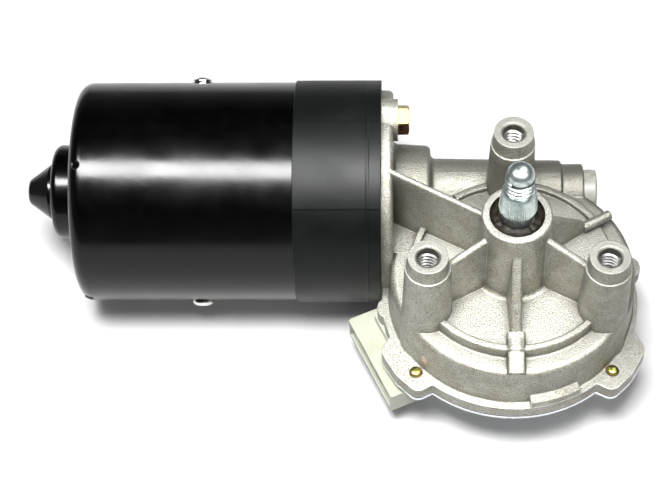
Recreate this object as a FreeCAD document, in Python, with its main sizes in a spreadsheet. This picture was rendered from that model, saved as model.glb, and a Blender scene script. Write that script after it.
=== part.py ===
import FreeCAD, Part
import math
import os
import re
import Sketcher

# Wiper motor: a permanent magnet motor with a worm gearbox, in millimetres.
# The origin is the centre of the three mounting bosses, in the plane of their tops.
# +Z runs up the output shaft, +X along the armature away from the can,
# and +Y from the output shaft to the armature.

Vector = FreeCAD.Vector
Rotation = FreeCAD.Rotation
Placement = FreeCAD.Placement

doc = FreeCAD.newDocument("wiper_motor")
sheet = doc.addObject("Spreadsheet::Sheet", "Sizes")

SIZES = {
    # worm drive
    "tooth_module": 1.25,
    "wheel_teeth": 57,
    "worm_pitch_radius": 6.0,
    "worm_length_turns": 6,
    "tooth_backlash": 0.30,
    "tooth_tip_gap": 0.35,
    "pressure_angle": 15,
    "wheel_face_width": 10,
    "wheel_web_thickness": 4,
    "wheel_rim_depth": 5,
    "wheel_hub_radius": 13,
    "wheel_hub_drop": 7,
    # heights above and below the boss plane
    "deck_depth": 33,
    "ledge_drop": 3,
    "deck_thickness": 3.5,
    "wheel_side_gap": 1.5,
    "flange_drop": 11.4,
    "flange_thickness": 5.1,
    "ledge_depth": "=deck_depth + ledge_drop",
    "worm_depth": "=deck_depth + deck_thickness + wheel_side_gap + wheel_face_width / 2",
    "flange_top_depth": "=worm_depth + flange_drop",
    "flange_bottom_depth": "=flange_top_depth + flange_thickness",
    # bowl of the gear housing
    "hub_top_radius": 12.7,
    "hub_foot_radius": 14.2,
    "ledge_radius": 38.2,
    "bowl_shoulder_radius": 45.6,
    "bowl_radius": 46,
    "bowl_shoulder_round": 2.6,
    "flange_radius": 48.9,
    "chamber_radius": 42.5,
    "chamber_neck_depth": 4.5,
    "ring_rib_width": 2.8,
    "ring_rib_height": 2,
    "cast_round": 0.8,
    "root_round": 2.0,
    # mounting bosses
    "boss_circle_radius": 37,
    "boss_top_radius": 7.3,
    "boss_collar_radius": 7.8,
    "boss_collar_height": 6.4,
    "boss_body_radius": 8.3,
    "boss_foot_radius": 9.9,
    "boss_bore_radius": 4.0,
    "boss_bore_length": 20,
    "boss_mouth_radius": 4.9,
    "boss_mouth_depth": 0.4,
    # ribs
    "front_rib_width": 3.6,
    "front_foot_width": 6.8,
    "front_nub_width": 6.6,
    "boss_rib_width": 2.8,
    "web_width": 2.4,
    "rib_draft": 0.05,
    "rib_round": 1.1,
    "rib_start_radius": 11.4,
    "front_rib_drop": 6.5,
    "front_foot_inset": 7.5,
    "boss_rib_drop": 6,
    "boss_rib_slope": 6,
    "web_inner_drop": 8.5,
    "web_outer_drop": 7.2,
    "short_rib_drop": 9,
    "short_rib_height": 5,
    "nib_start": 30.8,
    "nib_length": 12.2,
    "nib_radius": 1.9,
    "shelf_front": 7.8,
    "shelf_back": 26,
    "shelf_depth": 22,
    "step_height": 2.6,
    "step_slope": 3,
    # lugs for the cover screws
    "screw_circle_radius": 49,
    "lug_reach": 6.6,
    "lug_round": 5,
    "flange_trim": 2.1,
    "pad_radius": 5,
    "screw_radius": 2.4,
    "screw_clearance": 0.1,
    "screw_tip_height": 1.5,
    "screw_head_radius": 4.4,
    "screw_head_height": 3,
    # cover
    "gasket_thickness": 0.5,
    "cover_thickness": 1.4,
    "cover_notch_gap": 1.0,
    # output shaft
    "output_radius": 6.0,
    "bush_wall": 2.0,
    "running_clearance": 0.04,
    "recess_radius": 10,
    "recess_depth": 4,
    "upper_bush_length": 13,
    "lower_bush_length": 13,
    "wheel_seat_radius": 8,
    "ring_groove_depth": 0.7,
    "ring_thickness": 1.2,
    "ring_outer_radius": 8.4,
    "washer_thickness": 0.8,
    "washer_outer_radius": 9.5,
    "end_float": 0.1,
    "cone_start_height": 4.6,
    "cone_chamfer": 0.9,
    "cone_low_radius": 6.9,
    "cone_high_radius": 6.3,
    "cone_top_height": 14.2,
    "stud_radius": 5.5,
    "stud_top_height": 27,
    "stud_tip_round": 3.0,
    # park contacts
    "park_disc_radius": 27,
    "park_disc_bore_radius": 14.5,
    "park_disc_thickness": 0.8,
    "carrier_thickness": 2.0,
    "carrier_length": 34,
    "carrier_width": 22,
    "finger_width": 3.0,
    "finger_thickness": 0.4,
    "finger_pitch": 6.0,
    "finger_foot_length": 6,
    # casting round the armature
    "tunnel_radius": 12.8,
    "tunnel_end": 20,
    "nose_radius": 10.6,
    "nose_end": 28.5,
    "bearing_house_radius": 18.5,
    "bearing_house_end": -30.2,
    "can_flange_radius": 39.2,
    "can_flange_face": -44.5,
    "can_mouth": -49,
    "spigot_end": -56,
    "spigot_wall": 4,
    "can_flange_wall": 4.2,
    "worm_bore_radius": 8.5,
    "end_bush_radius": 6.6,
    "end_bush_start": 13.8,
    "end_bush_length": 5.0,
    # thrust plug
    "plug_head_radius": 8.4,
    "plug_head_length": 5.1,
    "plug_socket_radius": 3.4,
    "thrust_pad_length": 2,
    "thrust_pad_radius": 4.5,
    # ball bearing
    "shaft_radius": 5.0,
    "bearing_outer_radius": 13,
    "bearing_width": 8,
    "bearing_front": -34,
    "ball_radius": 2.2,
    "ball_count": 8,
    "race_clearance": 0.03,
    # armature
    "journal_radius": 4.0,
    "core_radius": 32.5,
    "core_start": -142,
    "core_end": -90,
    "slot_count": 12,
    "slot_opening": 2.4,
    "slot_depth": 15,
    "tooth_tip_depth": 2.2,
    "winding_overhang": 8,
    "winding_gap": 0.3,
    "commutator_radius": 13,
    "commutator_start": -76,
    "commutator_end": -62,
    "commutator_cut": 0.7,
    # can
    "can_radius": 42.4,
    "can_wall": 2.2,
    "can_back": -165.3,
    "can_corner_round": 5,
    "hump_radius": 18.3,
    "hump_back": -176,
    "hump_round": 3,
    "cap_radius": 10.7,
    "cap_tip": -186.6,
    "sleeve_start": -81.8,
    "sleeve_wall": 0.7,
    "spigot_gap": 0.1,
    # magnets and their rivets
    "air_gap": 1.0,
    "magnet_span": 116,
    "magnet_start": -150,
    "magnet_end": -85,
    "rivet_place": -118.7,
    "rivet_turn": 55.4,
    "rivet_head_radius": 4.1,
    "rivet_head_height": 2.1,
    "rivet_shank_radius": 2.0,
    # long bolts
    "bolt_inset": 7.9,
    "bolt_circle_radius": "=can_radius - bolt_inset",
    "bolt_turn": 15,
    "bolt_radius": 3.0,
    "bolt_clearance": 0.2,
    "bolt_head_radius": 5.77,
    "bolt_head_height": 4.3,
    "bolt_boss_radius": 8,
    "bolt_seat": -42.7,
    "anchor_length": 7,
    "anchor_radius": 5.6,
    # brush gear
    "brush_plate_thickness": 2,
    "brush_plate_bore_radius": 16,
    "brush_width": 6,
    "brush_length_along": 8,
    "brush_end_radius": 24,
    "holder_start_radius": 15.5,
    "holder_end_radius": 32,
    "holder_wall": 0.9,
    "brush_place": -67.5,
    "brush_gap": 0.1,
    "spring_radius": 2.2,
    "spring_wire": 0.5,
    "spring_turns": 5,
    # rear bush
    "rear_bush_radius": 8.2,
    "rear_bush_start": -172.5,
    "rear_bush_end": -164,
    "clip_thickness": 0.8,
    "felt_thickness": 2.5,
    # connector
    "connector_length": 38.4,
    "connector_depth": 18,
    "connector_height": 10,
    "connector_drop": 3.6,
    "connector_corner_x": -61.8,
    "connector_corner_y": -3.4,
    "connector_turn": -64.6,
    "connector_wall": 1.4,
    "connector_foot_start": 3,
    "connector_foot_end": 24,
    "connector_mouth_depth": 14,
    "connector_ways": 4,
    "blade_width": 5.0,
    "blade_thickness": 0.8,
    "blade_length": 6,
}

# cover screws: the angle of each, and the side its lug is long on
SCREW_LUGS = ((-137.4, -1), (-41.4, 1), (62.0, 1), (118.0, -1))
# small pads on the flange's rim: angle and distance of the middle
RIM_PADS = ((17, 47.2), (-174, 45.8))

for row, (alias, number) in enumerate(SIZES.items(), start=1):
    sheet.set(f"A{row}", alias)
    sheet.set(f"B{row}", str(number))
    sheet.setAlias(f"B{row}", alias)
doc.recompute()


def tied(text):
    # a size's name becomes a reference to its cell, and a function's name or pi stays
    return re.sub(r"\b(?!pi\b)[a-z]\w*\b(?!\()", lambda word: "Sizes." + word.group(), str(text))


def value(text):
    return float(sheet.evalExpression(tied(text)))


def bind(thing, prop, text):
    thing.setExpression(prop, tied(text))


def place(thing, along=("0", "0", "0"), rotation=None):
    if rotation is not None:
        thing.Placement = Placement(Vector(), rotation)
    for axis, text in zip("xyz", along):
        bind(thing, f"Placement.Base.{axis}", text)


def new_body(label, at=None, rotation=None):
    body = doc.addObject("PartDesign::Body", label)
    body.Label = label
    if at is not None:
        place(body, at, rotation)
    return body


def origin_feature(body, role):
    return next(item for item in body.Origin.OriginFeatures if item.Role == role)


def direction(start, end):
    step = end - start
    return step / step.Length


# Corners are (u, v) or (u, v, round): lines between the corners, and a tangent arc at each round one.
# A sketch with no body stands by itself, at a placement of its own.
def sketch_outline(body, name, plane, corners, shift=None, turn=None):
    if body is None:
        sketch = doc.addObject("Sketcher::SketchObject", name)
        place(sketch, shift, turn)
    else:
        sketch = body.newObject("Sketcher::SketchObject", name)
        sketch.AttachmentSupport = [(origin_feature(body, plane), "")]
        sketch.MapMode = "FlatFace"
        if turn is not None:
            sketch.AttachmentOffset = Placement(Vector(), turn)
        if shift is not None:
            for axis, text in zip("xyz", shift):
                bind(sketch, f"AttachmentOffset.Base.{axis}", text)
    here = [Vector(value(corner[0]), value(corner[1]), 0) for corner in corners]
    count = len(corners)
    ends = []
    for index, corner in enumerate(corners):
        before = direction(here[index - 1], here[index])
        after = direction(here[index], here[(index + 1) % count])
        turning = math.atan2(before.cross(after).z, before.dot(after))
        if len(corner) == 3 and abs(turning) > 0.02:
            reach = math.tan(abs(turning) / 2)
            radius = value(corner[2])
            first = here[index] - before * (reach * radius)
            last = here[index] + after * (reach * radius)
            side = Vector(-before.y, before.x, 0) * math.copysign(radius, turning)
            texts = []
            for way, sign in ((before, -1), (after, 1)):
                for axis, base in zip("xy", corner[:2]):
                    share = sign * reach * getattr(way, axis)
                    texts.append(f"({base}) + ({share:.9f}) * ({corner[2]})")
            ends.append((first, last, first + side, turning, texts, corner[2]))
        else:
            texts = [corner[0], corner[1]]
            ends.append((here[index], here[index], None, 0, texts * 2, None))
    shapes = []
    rules = []
    for index, end in enumerate(ends):
        follower = ends[(index + 1) % count]
        first, last, centre, turning = end[:4]
        if centre is not None:
            low = math.atan2(first.y - centre.y, first.x - centre.x)
            high = math.atan2(last.y - centre.y, last.x - centre.x)
            if turning < 0:
                low, high = high, low
            circle = Part.Circle(centre, Vector(0, 0, 1), (first - centre).Length)
            shapes.append(Part.ArcOfCircle(circle, low, high if high > low else high + 2 * math.pi))
            rules.append((index, "arc", turning))
        shapes.append(Part.LineSegment(last, follower[0]))
        rules.append((index, "line", 0))
    sketch.addGeometry(shapes, False)
    fixed = []
    named = []
    for number, (index, kind, turning) in enumerate(rules):
        upcoming = (number + 1) % len(rules)
        ending = 1 if kind == "arc" and turning < 0 else 2
        starting = 2 if rules[upcoming][1] == "arc" and rules[upcoming][2] < 0 else 1
        fixed.append(Sketcher.Constraint("Coincident", number, ending, upcoming, starting))
    for number, (index, kind, turning) in enumerate(rules):
        first, last, centre, _, texts, radius = ends[index]
        if kind == "arc":
            starting, ending = (2, 1) if turning < 0 else (1, 2)
            points = [(starting, first, texts[0], texts[1]), (ending, last, texts[2], texts[3])]
            named.append((Sketcher.Constraint("Radius", number, (first - centre).Length), radius))
        elif rules[number - 1][1] == "line":
            points = [(1, last, texts[2], texts[3])]
        else:
            points = []
        for end_point, spot, across, upward in points:
            named.append((Sketcher.Constraint("DistanceX", -1, 1, number, end_point, spot.x), across))
            named.append((Sketcher.Constraint("DistanceY", -1, 1, number, end_point, spot.y), upward))
    sketch.addConstraint(fixed)
    start = sketch.ConstraintCount
    sketch.addConstraint([rule for rule, _ in named])
    for number, (_, text) in enumerate(named):
        sketch.renameConstraint(start + number, f"size{number}")
        bind(sketch, f"Constraints.size{number}", text)
    return sketch


def turned(body, name, corners, axis="Z_Axis", cut=False, span=None, turn=None):
    sketch = sketch_outline(body, name + "_profile", "XZ_Plane", corners, turn=turn)
    kind = "PartDesign::Groove" if cut else "PartDesign::Revolution"
    feature = body.newObject(kind, name)
    feature.Profile = (sketch, [""])
    feature.ReferenceAxis = (origin_feature(body, axis), [""])
    feature.Angle = 360
    if span is not None:
        bind(feature, "Angle", span)
        feature.Midplane = True
    return feature


def padded(body, name, sketch, length, cut=False, reverse=False):
    feature = body.newObject("PartDesign::Pocket" if cut else "PartDesign::Pad", name)
    feature.Profile = (sketch, [""])
    bind(feature, "Length", length)
    feature.Reversed = reverse
    return feature


# A cylinder or cone inside a body, from its low end along its own Z.
def round_bar(body, name, low, high, length, at, rotation=None, cut=False):
    kind = "Subtractive" if cut else "Additive"
    if low == high:
        bar = body.newObject(f"PartDesign::{kind}Cylinder", name)
        bind(bar, "Radius", low)
    else:
        bar = body.newObject(f"PartDesign::{kind}Cone", name)
        bind(bar, "Radius1", low)
        bind(bar, "Radius2", high)
    bind(bar, "Height", length)
    place(bar, at, rotation or Rotation())
    return bar


def polar(radius, angle, height):
    return (f"{radius} * cos({angle})", f"{radius} * sin({angle})", height)


# A drafted wall with a rounded top, lofted between two upright sections on one radial line.
def rib(name, angle, inner, outer, bottom, width):
    sections = []
    for number, (radius, top) in enumerate((inner, outer)):
        half = f"{width} / 2"
        foot = f"{half} + rib_draft * ({top} - ({bottom}))"
        corners = [
            (f"-({foot})", bottom), (foot, bottom),
            (half, top, "rib_round"), (f"-({half})", top, "rib_round"),
        ]
        turn = Rotation(Vector(0, 0, 1), angle) * Rotation(Vector(1, 1, 1), 120)
        spot = polar(f"({radius})", angle, "0")
        sections.append(sketch_outline(None, f"{name}_section{number}", None, corners, spot, turn))
    loft = doc.addObject("Part::Loft", name)
    loft.Sections = sections
    loft.Solid = True
    loft.Ruled = True
    return loft


# A cylinder or cone that stands by itself, from its low end along its own Z.
def bar(name, low, high, length, at, rotation=None):
    if low == high:
        solid = doc.addObject("Part::Cylinder", name)
        bind(solid, "Radius", low)
    else:
        solid = doc.addObject("Part::Cone", name)
        bind(solid, "Radius1", low)
        bind(solid, "Radius2", high)
    bind(solid, "Height", length)
    place(solid, at, rotation or Rotation())
    return solid


parts = []


def keep(item):
    parts.append(item)
    return item


# Copies of one shape in one node, each at a placement of its own.
def group(label, shape, placements, at=None):
    feature = doc.addObject("Part::Feature", label)
    feature.Label = label
    copies = []
    for spot in placements:
        copy = shape.copy()
        copy.Placement = spot * copy.Placement
        copies.append(copy)
    feature.Shape = Part.makeCompound(copies)
    if at is not None:
        feature.Placement = at
    return feature


# The armature lies one wheel radius and one worm radius from the output shaft.
CENTRE = "(tooth_module * wheel_teeth / 2 + worm_pitch_radius)"
AXIS = ("0", CENTRE, "-worm_depth")
ALONG_X = Rotation(Vector(0, 1, 0), 90)
LEAD = "tooth_module * pi"
SPIGOT_RADIUS = "(can_radius - can_wall - spigot_gap)"
CHAMBER_TOP = "(deck_depth + deck_thickness)"


# Corners of a cover lug about its screw: degrees past the screw, then the radius.
def lug_corners(angle, side):
    spots = (
        (22.3, "flange_radius - cast_round"),
        (17.0, "flange_radius + 0.93 * lug_reach", "lug_round"),
        (4.0, "flange_radius + lug_reach", "lug_round"),
        (-7.0, "flange_radius + 0.97 * lug_reach", "0.8 * lug_round"),
        (-10.2, "flange_radius - cast_round"),
        (-8.0, "chamber_radius + 1"),
        (15.0, "chamber_radius + 1"),
    )
    corners = []
    for spot in spots:
        across = angle + side * spot[0]
        corner = (f"({spot[1]}) * cos({across})", f"({spot[1]}) * sin({across})")
        corners.append(corner + spot[2:])
    return corners


# The flange's outline as a plate: a disc trimmed on the right, with small pads and the screws' lugs.
def flange_plate(body, name, bottom, thickness):
    round_bar(body, name + "_disc", "flange_radius", "flange_radius", thickness, ("0", "0", bottom))
    low = f"{bottom} - 1"
    high = f"{bottom} + ({thickness}) + 1"
    turned(body, name + "_trim", tube_corners(
        "flange_radius - flange_trim", "flange_radius + 1", low, high),
        cut=True, span="33.5", turn=Rotation(Vector(0, 1, 0), -4.75))
    for number, (angle, distance) in enumerate(RIM_PADS):
        round_bar(body, f"{name}_pad{number}", "pad_radius", "pad_radius", thickness,
                  polar(distance, angle, bottom))
    for number, (angle, side) in enumerate(SCREW_LUGS):
        outline = sketch_outline(body, f"{name}_lug_outline{number}", "XY_Plane",
                                 lug_corners(angle, side), ("0", "0", bottom))
        padded(body, f"{name}_lug{number}", outline, thickness)


def housing_lumps():
    bowl = new_body("bowl")
    turned(bowl, "bowl_turning", [
        ("0", "0"),
        ("hub_top_radius", "0", "cast_round"),
        ("hub_foot_radius", "-deck_depth", "root_round"),
        ("ledge_radius", "-deck_depth", "cast_round"),
        ("ledge_radius", "-ledge_depth", "cast_round"),
        ("bowl_shoulder_radius", "-ledge_depth", "bowl_shoulder_round"),
        ("bowl_radius", "-flange_top_depth", "cast_round"),
        ("flange_radius - cast_round", "-flange_top_depth"),
        ("flange_radius - cast_round", "-flange_bottom_depth"),
        ("0", "-flange_bottom_depth"),
    ])
    flange = new_body("flange")
    flange_plate(flange, "flange", "-flange_bottom_depth", "flange_bottom_depth - flange_top_depth")
    casing = new_body("armature_casing", AXIS)
    turned(casing, "casing_turning", [
        ("spigot_end", "0"),
        ("spigot_end", SPIGOT_RADIUS),
        ("can_mouth", SPIGOT_RADIUS),
        ("can_mouth", "can_flange_radius"),
        ("can_flange_face", "can_flange_radius", "root_round"),
        ("can_flange_face", "bearing_house_radius", "root_round"),
        ("bearing_house_end", "bearing_house_radius - cast_round", "root_round"),
        ("bearing_house_end", "tunnel_radius", "root_round"),
        ("tunnel_end", "tunnel_radius - cast_round", "cast_round"),
        ("tunnel_end", "nose_radius", "cast_round"),
        ("nose_end", "nose_radius", "cast_round"),
        ("nose_end", "0"),
    ], "X_Axis")
    lumps = [bowl, flange, casing]
    for number, (middle, span) in enumerate(((-90, 92), (77, 95), (173, 46))):
        arc = new_body(f"ring_rib{number}")
        turned(arc, "arc", [
            ("ledge_radius - ring_rib_width", "-deck_depth - cast_round"),
            ("ledge_radius", "-deck_depth - cast_round"),
            ("ledge_radius", "ring_rib_height - deck_depth", "cast_round"),
            ("ledge_radius - ring_rib_width", "ring_rib_height - deck_depth", "cast_round"),
        ], span=str(span), turn=Rotation(Vector(0, 1, 0), middle))
        lumps.append(arc)
    step = new_body("cast_step")
    turned(step, "step", [
        ("bowl_radius - 1.5", "-flange_top_depth - 0.5"),
        ("flange_radius - 0.2", "-flange_top_depth - 0.5"),
        ("flange_radius - 0.2", "step_height - flange_top_depth", "cast_round"),
        ("bowl_radius - 1.5", "step_height + step_slope - flange_top_depth"),
    ], span="23", turn=Rotation(Vector(0, 1, 0), -71.5))
    nib = new_body("deck_nib", polar("nib_start", 30.5, "nib_radius - deck_depth + 0.3"),
                   Rotation(Vector(0, 0, 1), 30.5))
    turned(nib, "nib", [
        ("0", "0"), ("0", "nib_radius", "cast_round"),
        ("nib_length", "nib_radius", "cast_round"), ("nib_length", "0"),
    ], "X_Axis")
    # the shelf that joins the bowl's ledge to the can's flange
    shelf = new_body("shelf")
    outline = sketch_outline(shelf, "shelf_outline", "XY_Plane", [
        ("can_flange_face - 1.6", "shelf_front"), ("-ledge_radius + 2", "shelf_front"),
        ("-ledge_radius + 2", "shelf_back"), ("can_flange_face - 1.6", "shelf_back"),
    ], ("0", "0", "-ledge_depth - shelf_depth"))
    padded(shelf, "shelf_block", outline, "shelf_depth + 0.2")
    lumps += [step, nib, shelf]
    for number in range(3):
        angle = 90 + 120 * number
        lumps.append(bar(f"boss{number}", "boss_foot_radius", "boss_body_radius",
                         "flange_top_depth - boss_collar_height",
                         polar("boss_circle_radius", angle, "-flange_top_depth")))
        lumps.append(bar(f"boss_collar{number}", "boss_collar_radius", "boss_top_radius",
                         "boss_collar_height + 0.5",
                         polar("boss_circle_radius", angle, "-boss_collar_height - 0.5")))
    for number in range(2):
        lumps.append(bar(f"bolt_boss{number}", "bolt_boss_radius", "bolt_boss_radius",
                         "bolt_seat - can_mouth", bolt_spot("can_mouth", number), ALONG_X))
    # walls from the hub: to the front, to the three bosses, to the can's flange and one short one
    start = "rib_start_radius"
    deck = "-deck_depth - 0.5"
    boss_end = ("boss_circle_radius - 4", "-boss_rib_drop - boss_rib_slope")
    front_end = ("ledge_radius - front_foot_inset", "ring_rib_height + 0.4 - deck_depth")
    lumps += [
        rib("front_rib", -90, (start, "-front_rib_drop"), front_end, deck, "front_rib_width"),
        rib("front_foot", -90, (f"{front_end[0]} - 0.3", front_end[1]),
            ("ledge_radius - 0.6", "ring_rib_height + 0.3 - deck_depth"), deck, "front_foot_width"),
        rib("front_nub", -90, ("ledge_radius - 1.2", "ring_rib_height - 0.2 - deck_depth"),
            ("bowl_shoulder_radius - 0.2", "1.4 - ledge_depth"), "-ledge_depth - 3", "front_nub_width"),
        rib("boss_rib_left", 210, (start, "-boss_rib_drop"), boss_end, deck, "boss_rib_width"),
        rib("boss_rib_right", 330, (start, "-boss_rib_drop"), boss_end, deck, "boss_rib_width"),
        rib("boss_rib_back", 90, (start, "2 - boss_rib_drop"), (boss_end[0], f"{boss_end[1]} + 2"), deck,
            "boss_rib_width"),
        rib("web", 151, (start, "-web_inner_drop"), ("-can_flange_face + 10", "-web_outer_drop"),
            "-ledge_depth - 6", "web_width"),
        rib("short_rib", 32, (start, "-short_rib_drop"),
            ("nib_start + 0.4", "short_rib_height - deck_depth"), deck, "boss_rib_width"),
    ]
    return lumps


def housing_bores():
    # hub bore, recess and the chamber of the worm wheel
    chamber = new_body("chamber")
    turned(chamber, "chamber_turning", [
        ("0", "1"),
        ("recess_radius", "1"),
        ("recess_radius", "-recess_depth"),
        ("output_radius + bush_wall", "-recess_depth"),
        ("output_radius + bush_wall", f"-{CHAMBER_TOP}"),
        ("ledge_radius", f"-{CHAMBER_TOP}"),
        ("ledge_radius", f"-{CHAMBER_TOP} - chamber_neck_depth"),
        ("chamber_radius", f"-{CHAMBER_TOP} - chamber_neck_depth"),
        ("chamber_radius", "-flange_bottom_depth - 3"),
        ("0", "-flange_bottom_depth - 3"),
    ])
    # bores along the armature, from the can's side to the thrust plug
    worm_bore = new_body("worm_bore", AXIS)
    turned(worm_bore, "worm_bore_turning", [
        ("spigot_end - 1", "0"),
        ("spigot_end - 1", f"{SPIGOT_RADIUS} - spigot_wall"),
        ("can_flange_face - can_flange_wall", f"{SPIGOT_RADIUS} - spigot_wall"),
        ("can_flange_face - can_flange_wall", "bearing_outer_radius"),
        ("bearing_front", "bearing_outer_radius"),
        ("bearing_front", "worm_bore_radius"),
        ("end_bush_start", "worm_bore_radius"),
        ("end_bush_start", "end_bush_radius"),
        ("nose_end + 1", "end_bush_radius"),
        ("nose_end + 1", "0"),
    ], "X_Axis")
    bores = [chamber, worm_bore]
    for number in range(3):
        angle = 90 + 120 * number
        bores.append(bar(f"boss_bore{number}", "boss_bore_radius", "boss_bore_radius",
                         "boss_bore_length + 1", polar("boss_circle_radius", angle, "-boss_bore_length")))
        bores.append(bar(f"boss_mouth{number}", "boss_bore_radius", "boss_mouth_radius",
                         "boss_mouth_depth", polar("boss_circle_radius", angle, "-boss_mouth_depth")))
    hole = "screw_radius + screw_clearance"
    for number, (angle, _) in enumerate(SCREW_LUGS):
        bores.append(bar(f"screw_hole{number}", hole, hole, "flange_bottom_depth - flange_top_depth + 5",
                         polar("screw_circle_radius", angle, "-flange_bottom_depth - 1")))
    hole = "bolt_radius + bolt_clearance"
    for number in range(2):
        bores.append(bar(f"bolt_hole{number}", hole, hole, "bolt_seat - spigot_end + 2",
                         bolt_spot("spigot_end - 1", number), ALONG_X))
    bores.append(bar("plug_spotface", "plug_head_radius + 0.4", "plug_head_radius + 0.4", "12",
                     ("nose_end", CENTRE, "-worm_depth"), ALONG_X))
    return bores


def gear_housing():
    solid = doc.addObject("Part::MultiFuse", "housing_solid")
    solid.Shapes = housing_lumps()
    bores = doc.addObject("Part::MultiFuse", "housing_bores")
    bores.Shapes = housing_bores()
    housing = doc.addObject("Part::Cut", "gear_housing")
    housing.Base = solid
    housing.Tool = bores
    return housing


# A point on one of the two long bolts, given its place along the armature.
def bolt_spot(along, number):
    angle = f"bolt_turn + {180 * number}"
    return (along, f"{CENTRE} + bolt_circle_radius * sin({angle})",
            f"bolt_circle_radius * cos({angle}) - worm_depth")


# Gives the cover and its gasket the notch that clears the bearing housing and the can's flange.
def notch(body, bottom, thickness):
    for name, radius, end in (
        ("bearing_notch", "bearing_house_radius", "bearing_house_end"),
        ("flange_notch", "can_flange_radius", "can_flange_face"),
    ):
        round_bar(body, name, f"{radius} + cover_notch_gap", f"{radius} + cover_notch_gap",
                  f"{end} + cover_notch_gap + 70", ("-70", CENTRE, "-worm_depth"), ALONG_X, cut=True)
    for number, (angle, _) in enumerate(SCREW_LUGS):
        hole = "screw_radius + screw_clearance"
        round_bar(body, f"screw_hole{number}", hole, hole, f"{thickness} + 2",
                  polar("screw_circle_radius", angle, f"{bottom} - 1"), cut=True)


GASKET_BOTTOM = "(-flange_bottom_depth - gasket_thickness)"
COVER_BOTTOM = "(-flange_bottom_depth - gasket_thickness - cover_thickness)"


def cover_gasket():
    body = new_body("cover_gasket")
    flange_plate(body, "gasket", GASKET_BOTTOM, "gasket_thickness")
    round_bar(body, "opening", "chamber_radius", "chamber_radius", "gasket_thickness + 2",
              ("0", "0", GASKET_BOTTOM + " - 1"), cut=True)
    notch(body, GASKET_BOTTOM, "gasket_thickness")
    return body


def cover_plate():
    body = new_body("cover_plate")
    flange_plate(body, "cover", COVER_BOTTOM, "cover_thickness")
    notch(body, COVER_BOTTOM, "cover_thickness")
    return body


def cover_screws():
    screw = new_body("cover_screw")
    turned(screw, "screw", [
        ("0", "0"),
        ("screw_head_radius", "0", "cast_round"),
        ("screw_head_radius", "screw_head_height"),
        ("screw_radius", "screw_head_height"),
        ("screw_radius", f"screw_head_height - flange_top_depth + screw_tip_height - {COVER_BOTTOM}"),
        ("0", f"screw_head_height - flange_top_depth + screw_tip_height - {COVER_BOTTOM}"),
    ])
    doc.recompute()
    low = value(COVER_BOTTOM + " - screw_head_height")
    radius = value("screw_circle_radius")
    spots = []
    for angle, _ in SCREW_LUGS:
        way = math.radians(angle)
        spots.append(Placement(Vector(radius * math.cos(way), radius * math.sin(way), low), Rotation()))
    return group("cover_screws", screw.Shape, spots)


def ring(label, corners, at=None, axis="Z_Axis"):
    body = new_body(label, at)
    turned(body, "profile", corners, axis)
    return body


def tube_corners(inner, outer, low, high):
    return [(inner, low), (outer, low), (outer, high), (inner, high)]


def tube_along(inner, outer, start, end):
    return [(start, inner), (end, inner), (end, outer), (start, outer)]


def output_parts():
    bore = "output_radius + running_clearance"
    seat = "output_radius + bush_wall"
    upper = keep(ring("output_bush_upper", tube_corners(
        bore, seat, "-recess_depth - upper_bush_length", "-recess_depth")))
    lower = keep(ring("output_bush_lower", tube_corners(
        bore, seat, f"-{CHAMBER_TOP}", f"lower_bush_length - {CHAMBER_TOP}")))
    washer_low = "end_float - recess_depth"
    ring_low = f"{washer_low} + washer_thickness + end_float / 2"
    keep(ring("shaft_washer", tube_corners(
        bore, "washer_outer_radius", washer_low, f"{washer_low} + washer_thickness")))
    groove = "output_radius - ring_groove_depth"
    keep(ring("retaining_ring", tube_corners(
        groove, "ring_outer_radius", ring_low, f"{ring_low} + ring_thickness")))
    keep(ring("output_shaft", [
        ("0", "-worm_depth - wheel_hub_drop - 1"),
        ("wheel_seat_radius", "-worm_depth - wheel_hub_drop - 1"),
        ("wheel_seat_radius", f"-{CHAMBER_TOP} - 2"),
        ("output_radius", f"-{CHAMBER_TOP} - 2"),
        ("output_radius", ring_low),
        (groove, ring_low),
        (groove, f"{ring_low} + ring_thickness"),
        ("output_radius", f"{ring_low} + ring_thickness"),
        ("output_radius", "cone_start_height - cone_chamfer"),
        ("cone_low_radius", "cone_start_height"),
        ("cone_high_radius", "cone_top_height"),
        ("stud_radius", "cone_top_height"),
        ("stud_radius", "stud_top_height", "stud_tip_round"),
        ("0", "stud_top_height"),
    ]))
    keep(ring("thrust_washer", tube_corners(
        bore, "wheel_hub_radius - 1", f"-{CHAMBER_TOP} - end_float / 2 - washer_thickness",
        f"-{CHAMBER_TOP} - end_float / 2")))
    return upper, lower


# The rim's outline in one plane: a straight-sided tooth, its top land and the gap beside it.
def rim_wire(height, twist):
    teeth = int(value("wheel_teeth"))
    module = value("tooth_module")
    pitch_radius = module * teeth / 2
    slope = math.tan(math.radians(value("pressure_angle")))
    tip = pitch_radius + module
    root = pitch_radius - module - value("tooth_tip_gap") + 0.1
    half = (math.pi * module - value("tooth_backlash")) / 4
    points = []
    for tooth in range(teeth):
        middle = twist + 2 * math.pi * (tooth + 0.5) / teeth + math.pi / 2
        for radius, side in ((root, -1), (tip, -1), (tip, 1), (root, 1)):
            width = half + (pitch_radius - radius) * slope
            angle = middle + side * width / radius
            points.append(Vector(radius * math.cos(angle), radius * math.sin(angle), height))
    return Part.makePolygon(points + points[:1])


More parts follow.
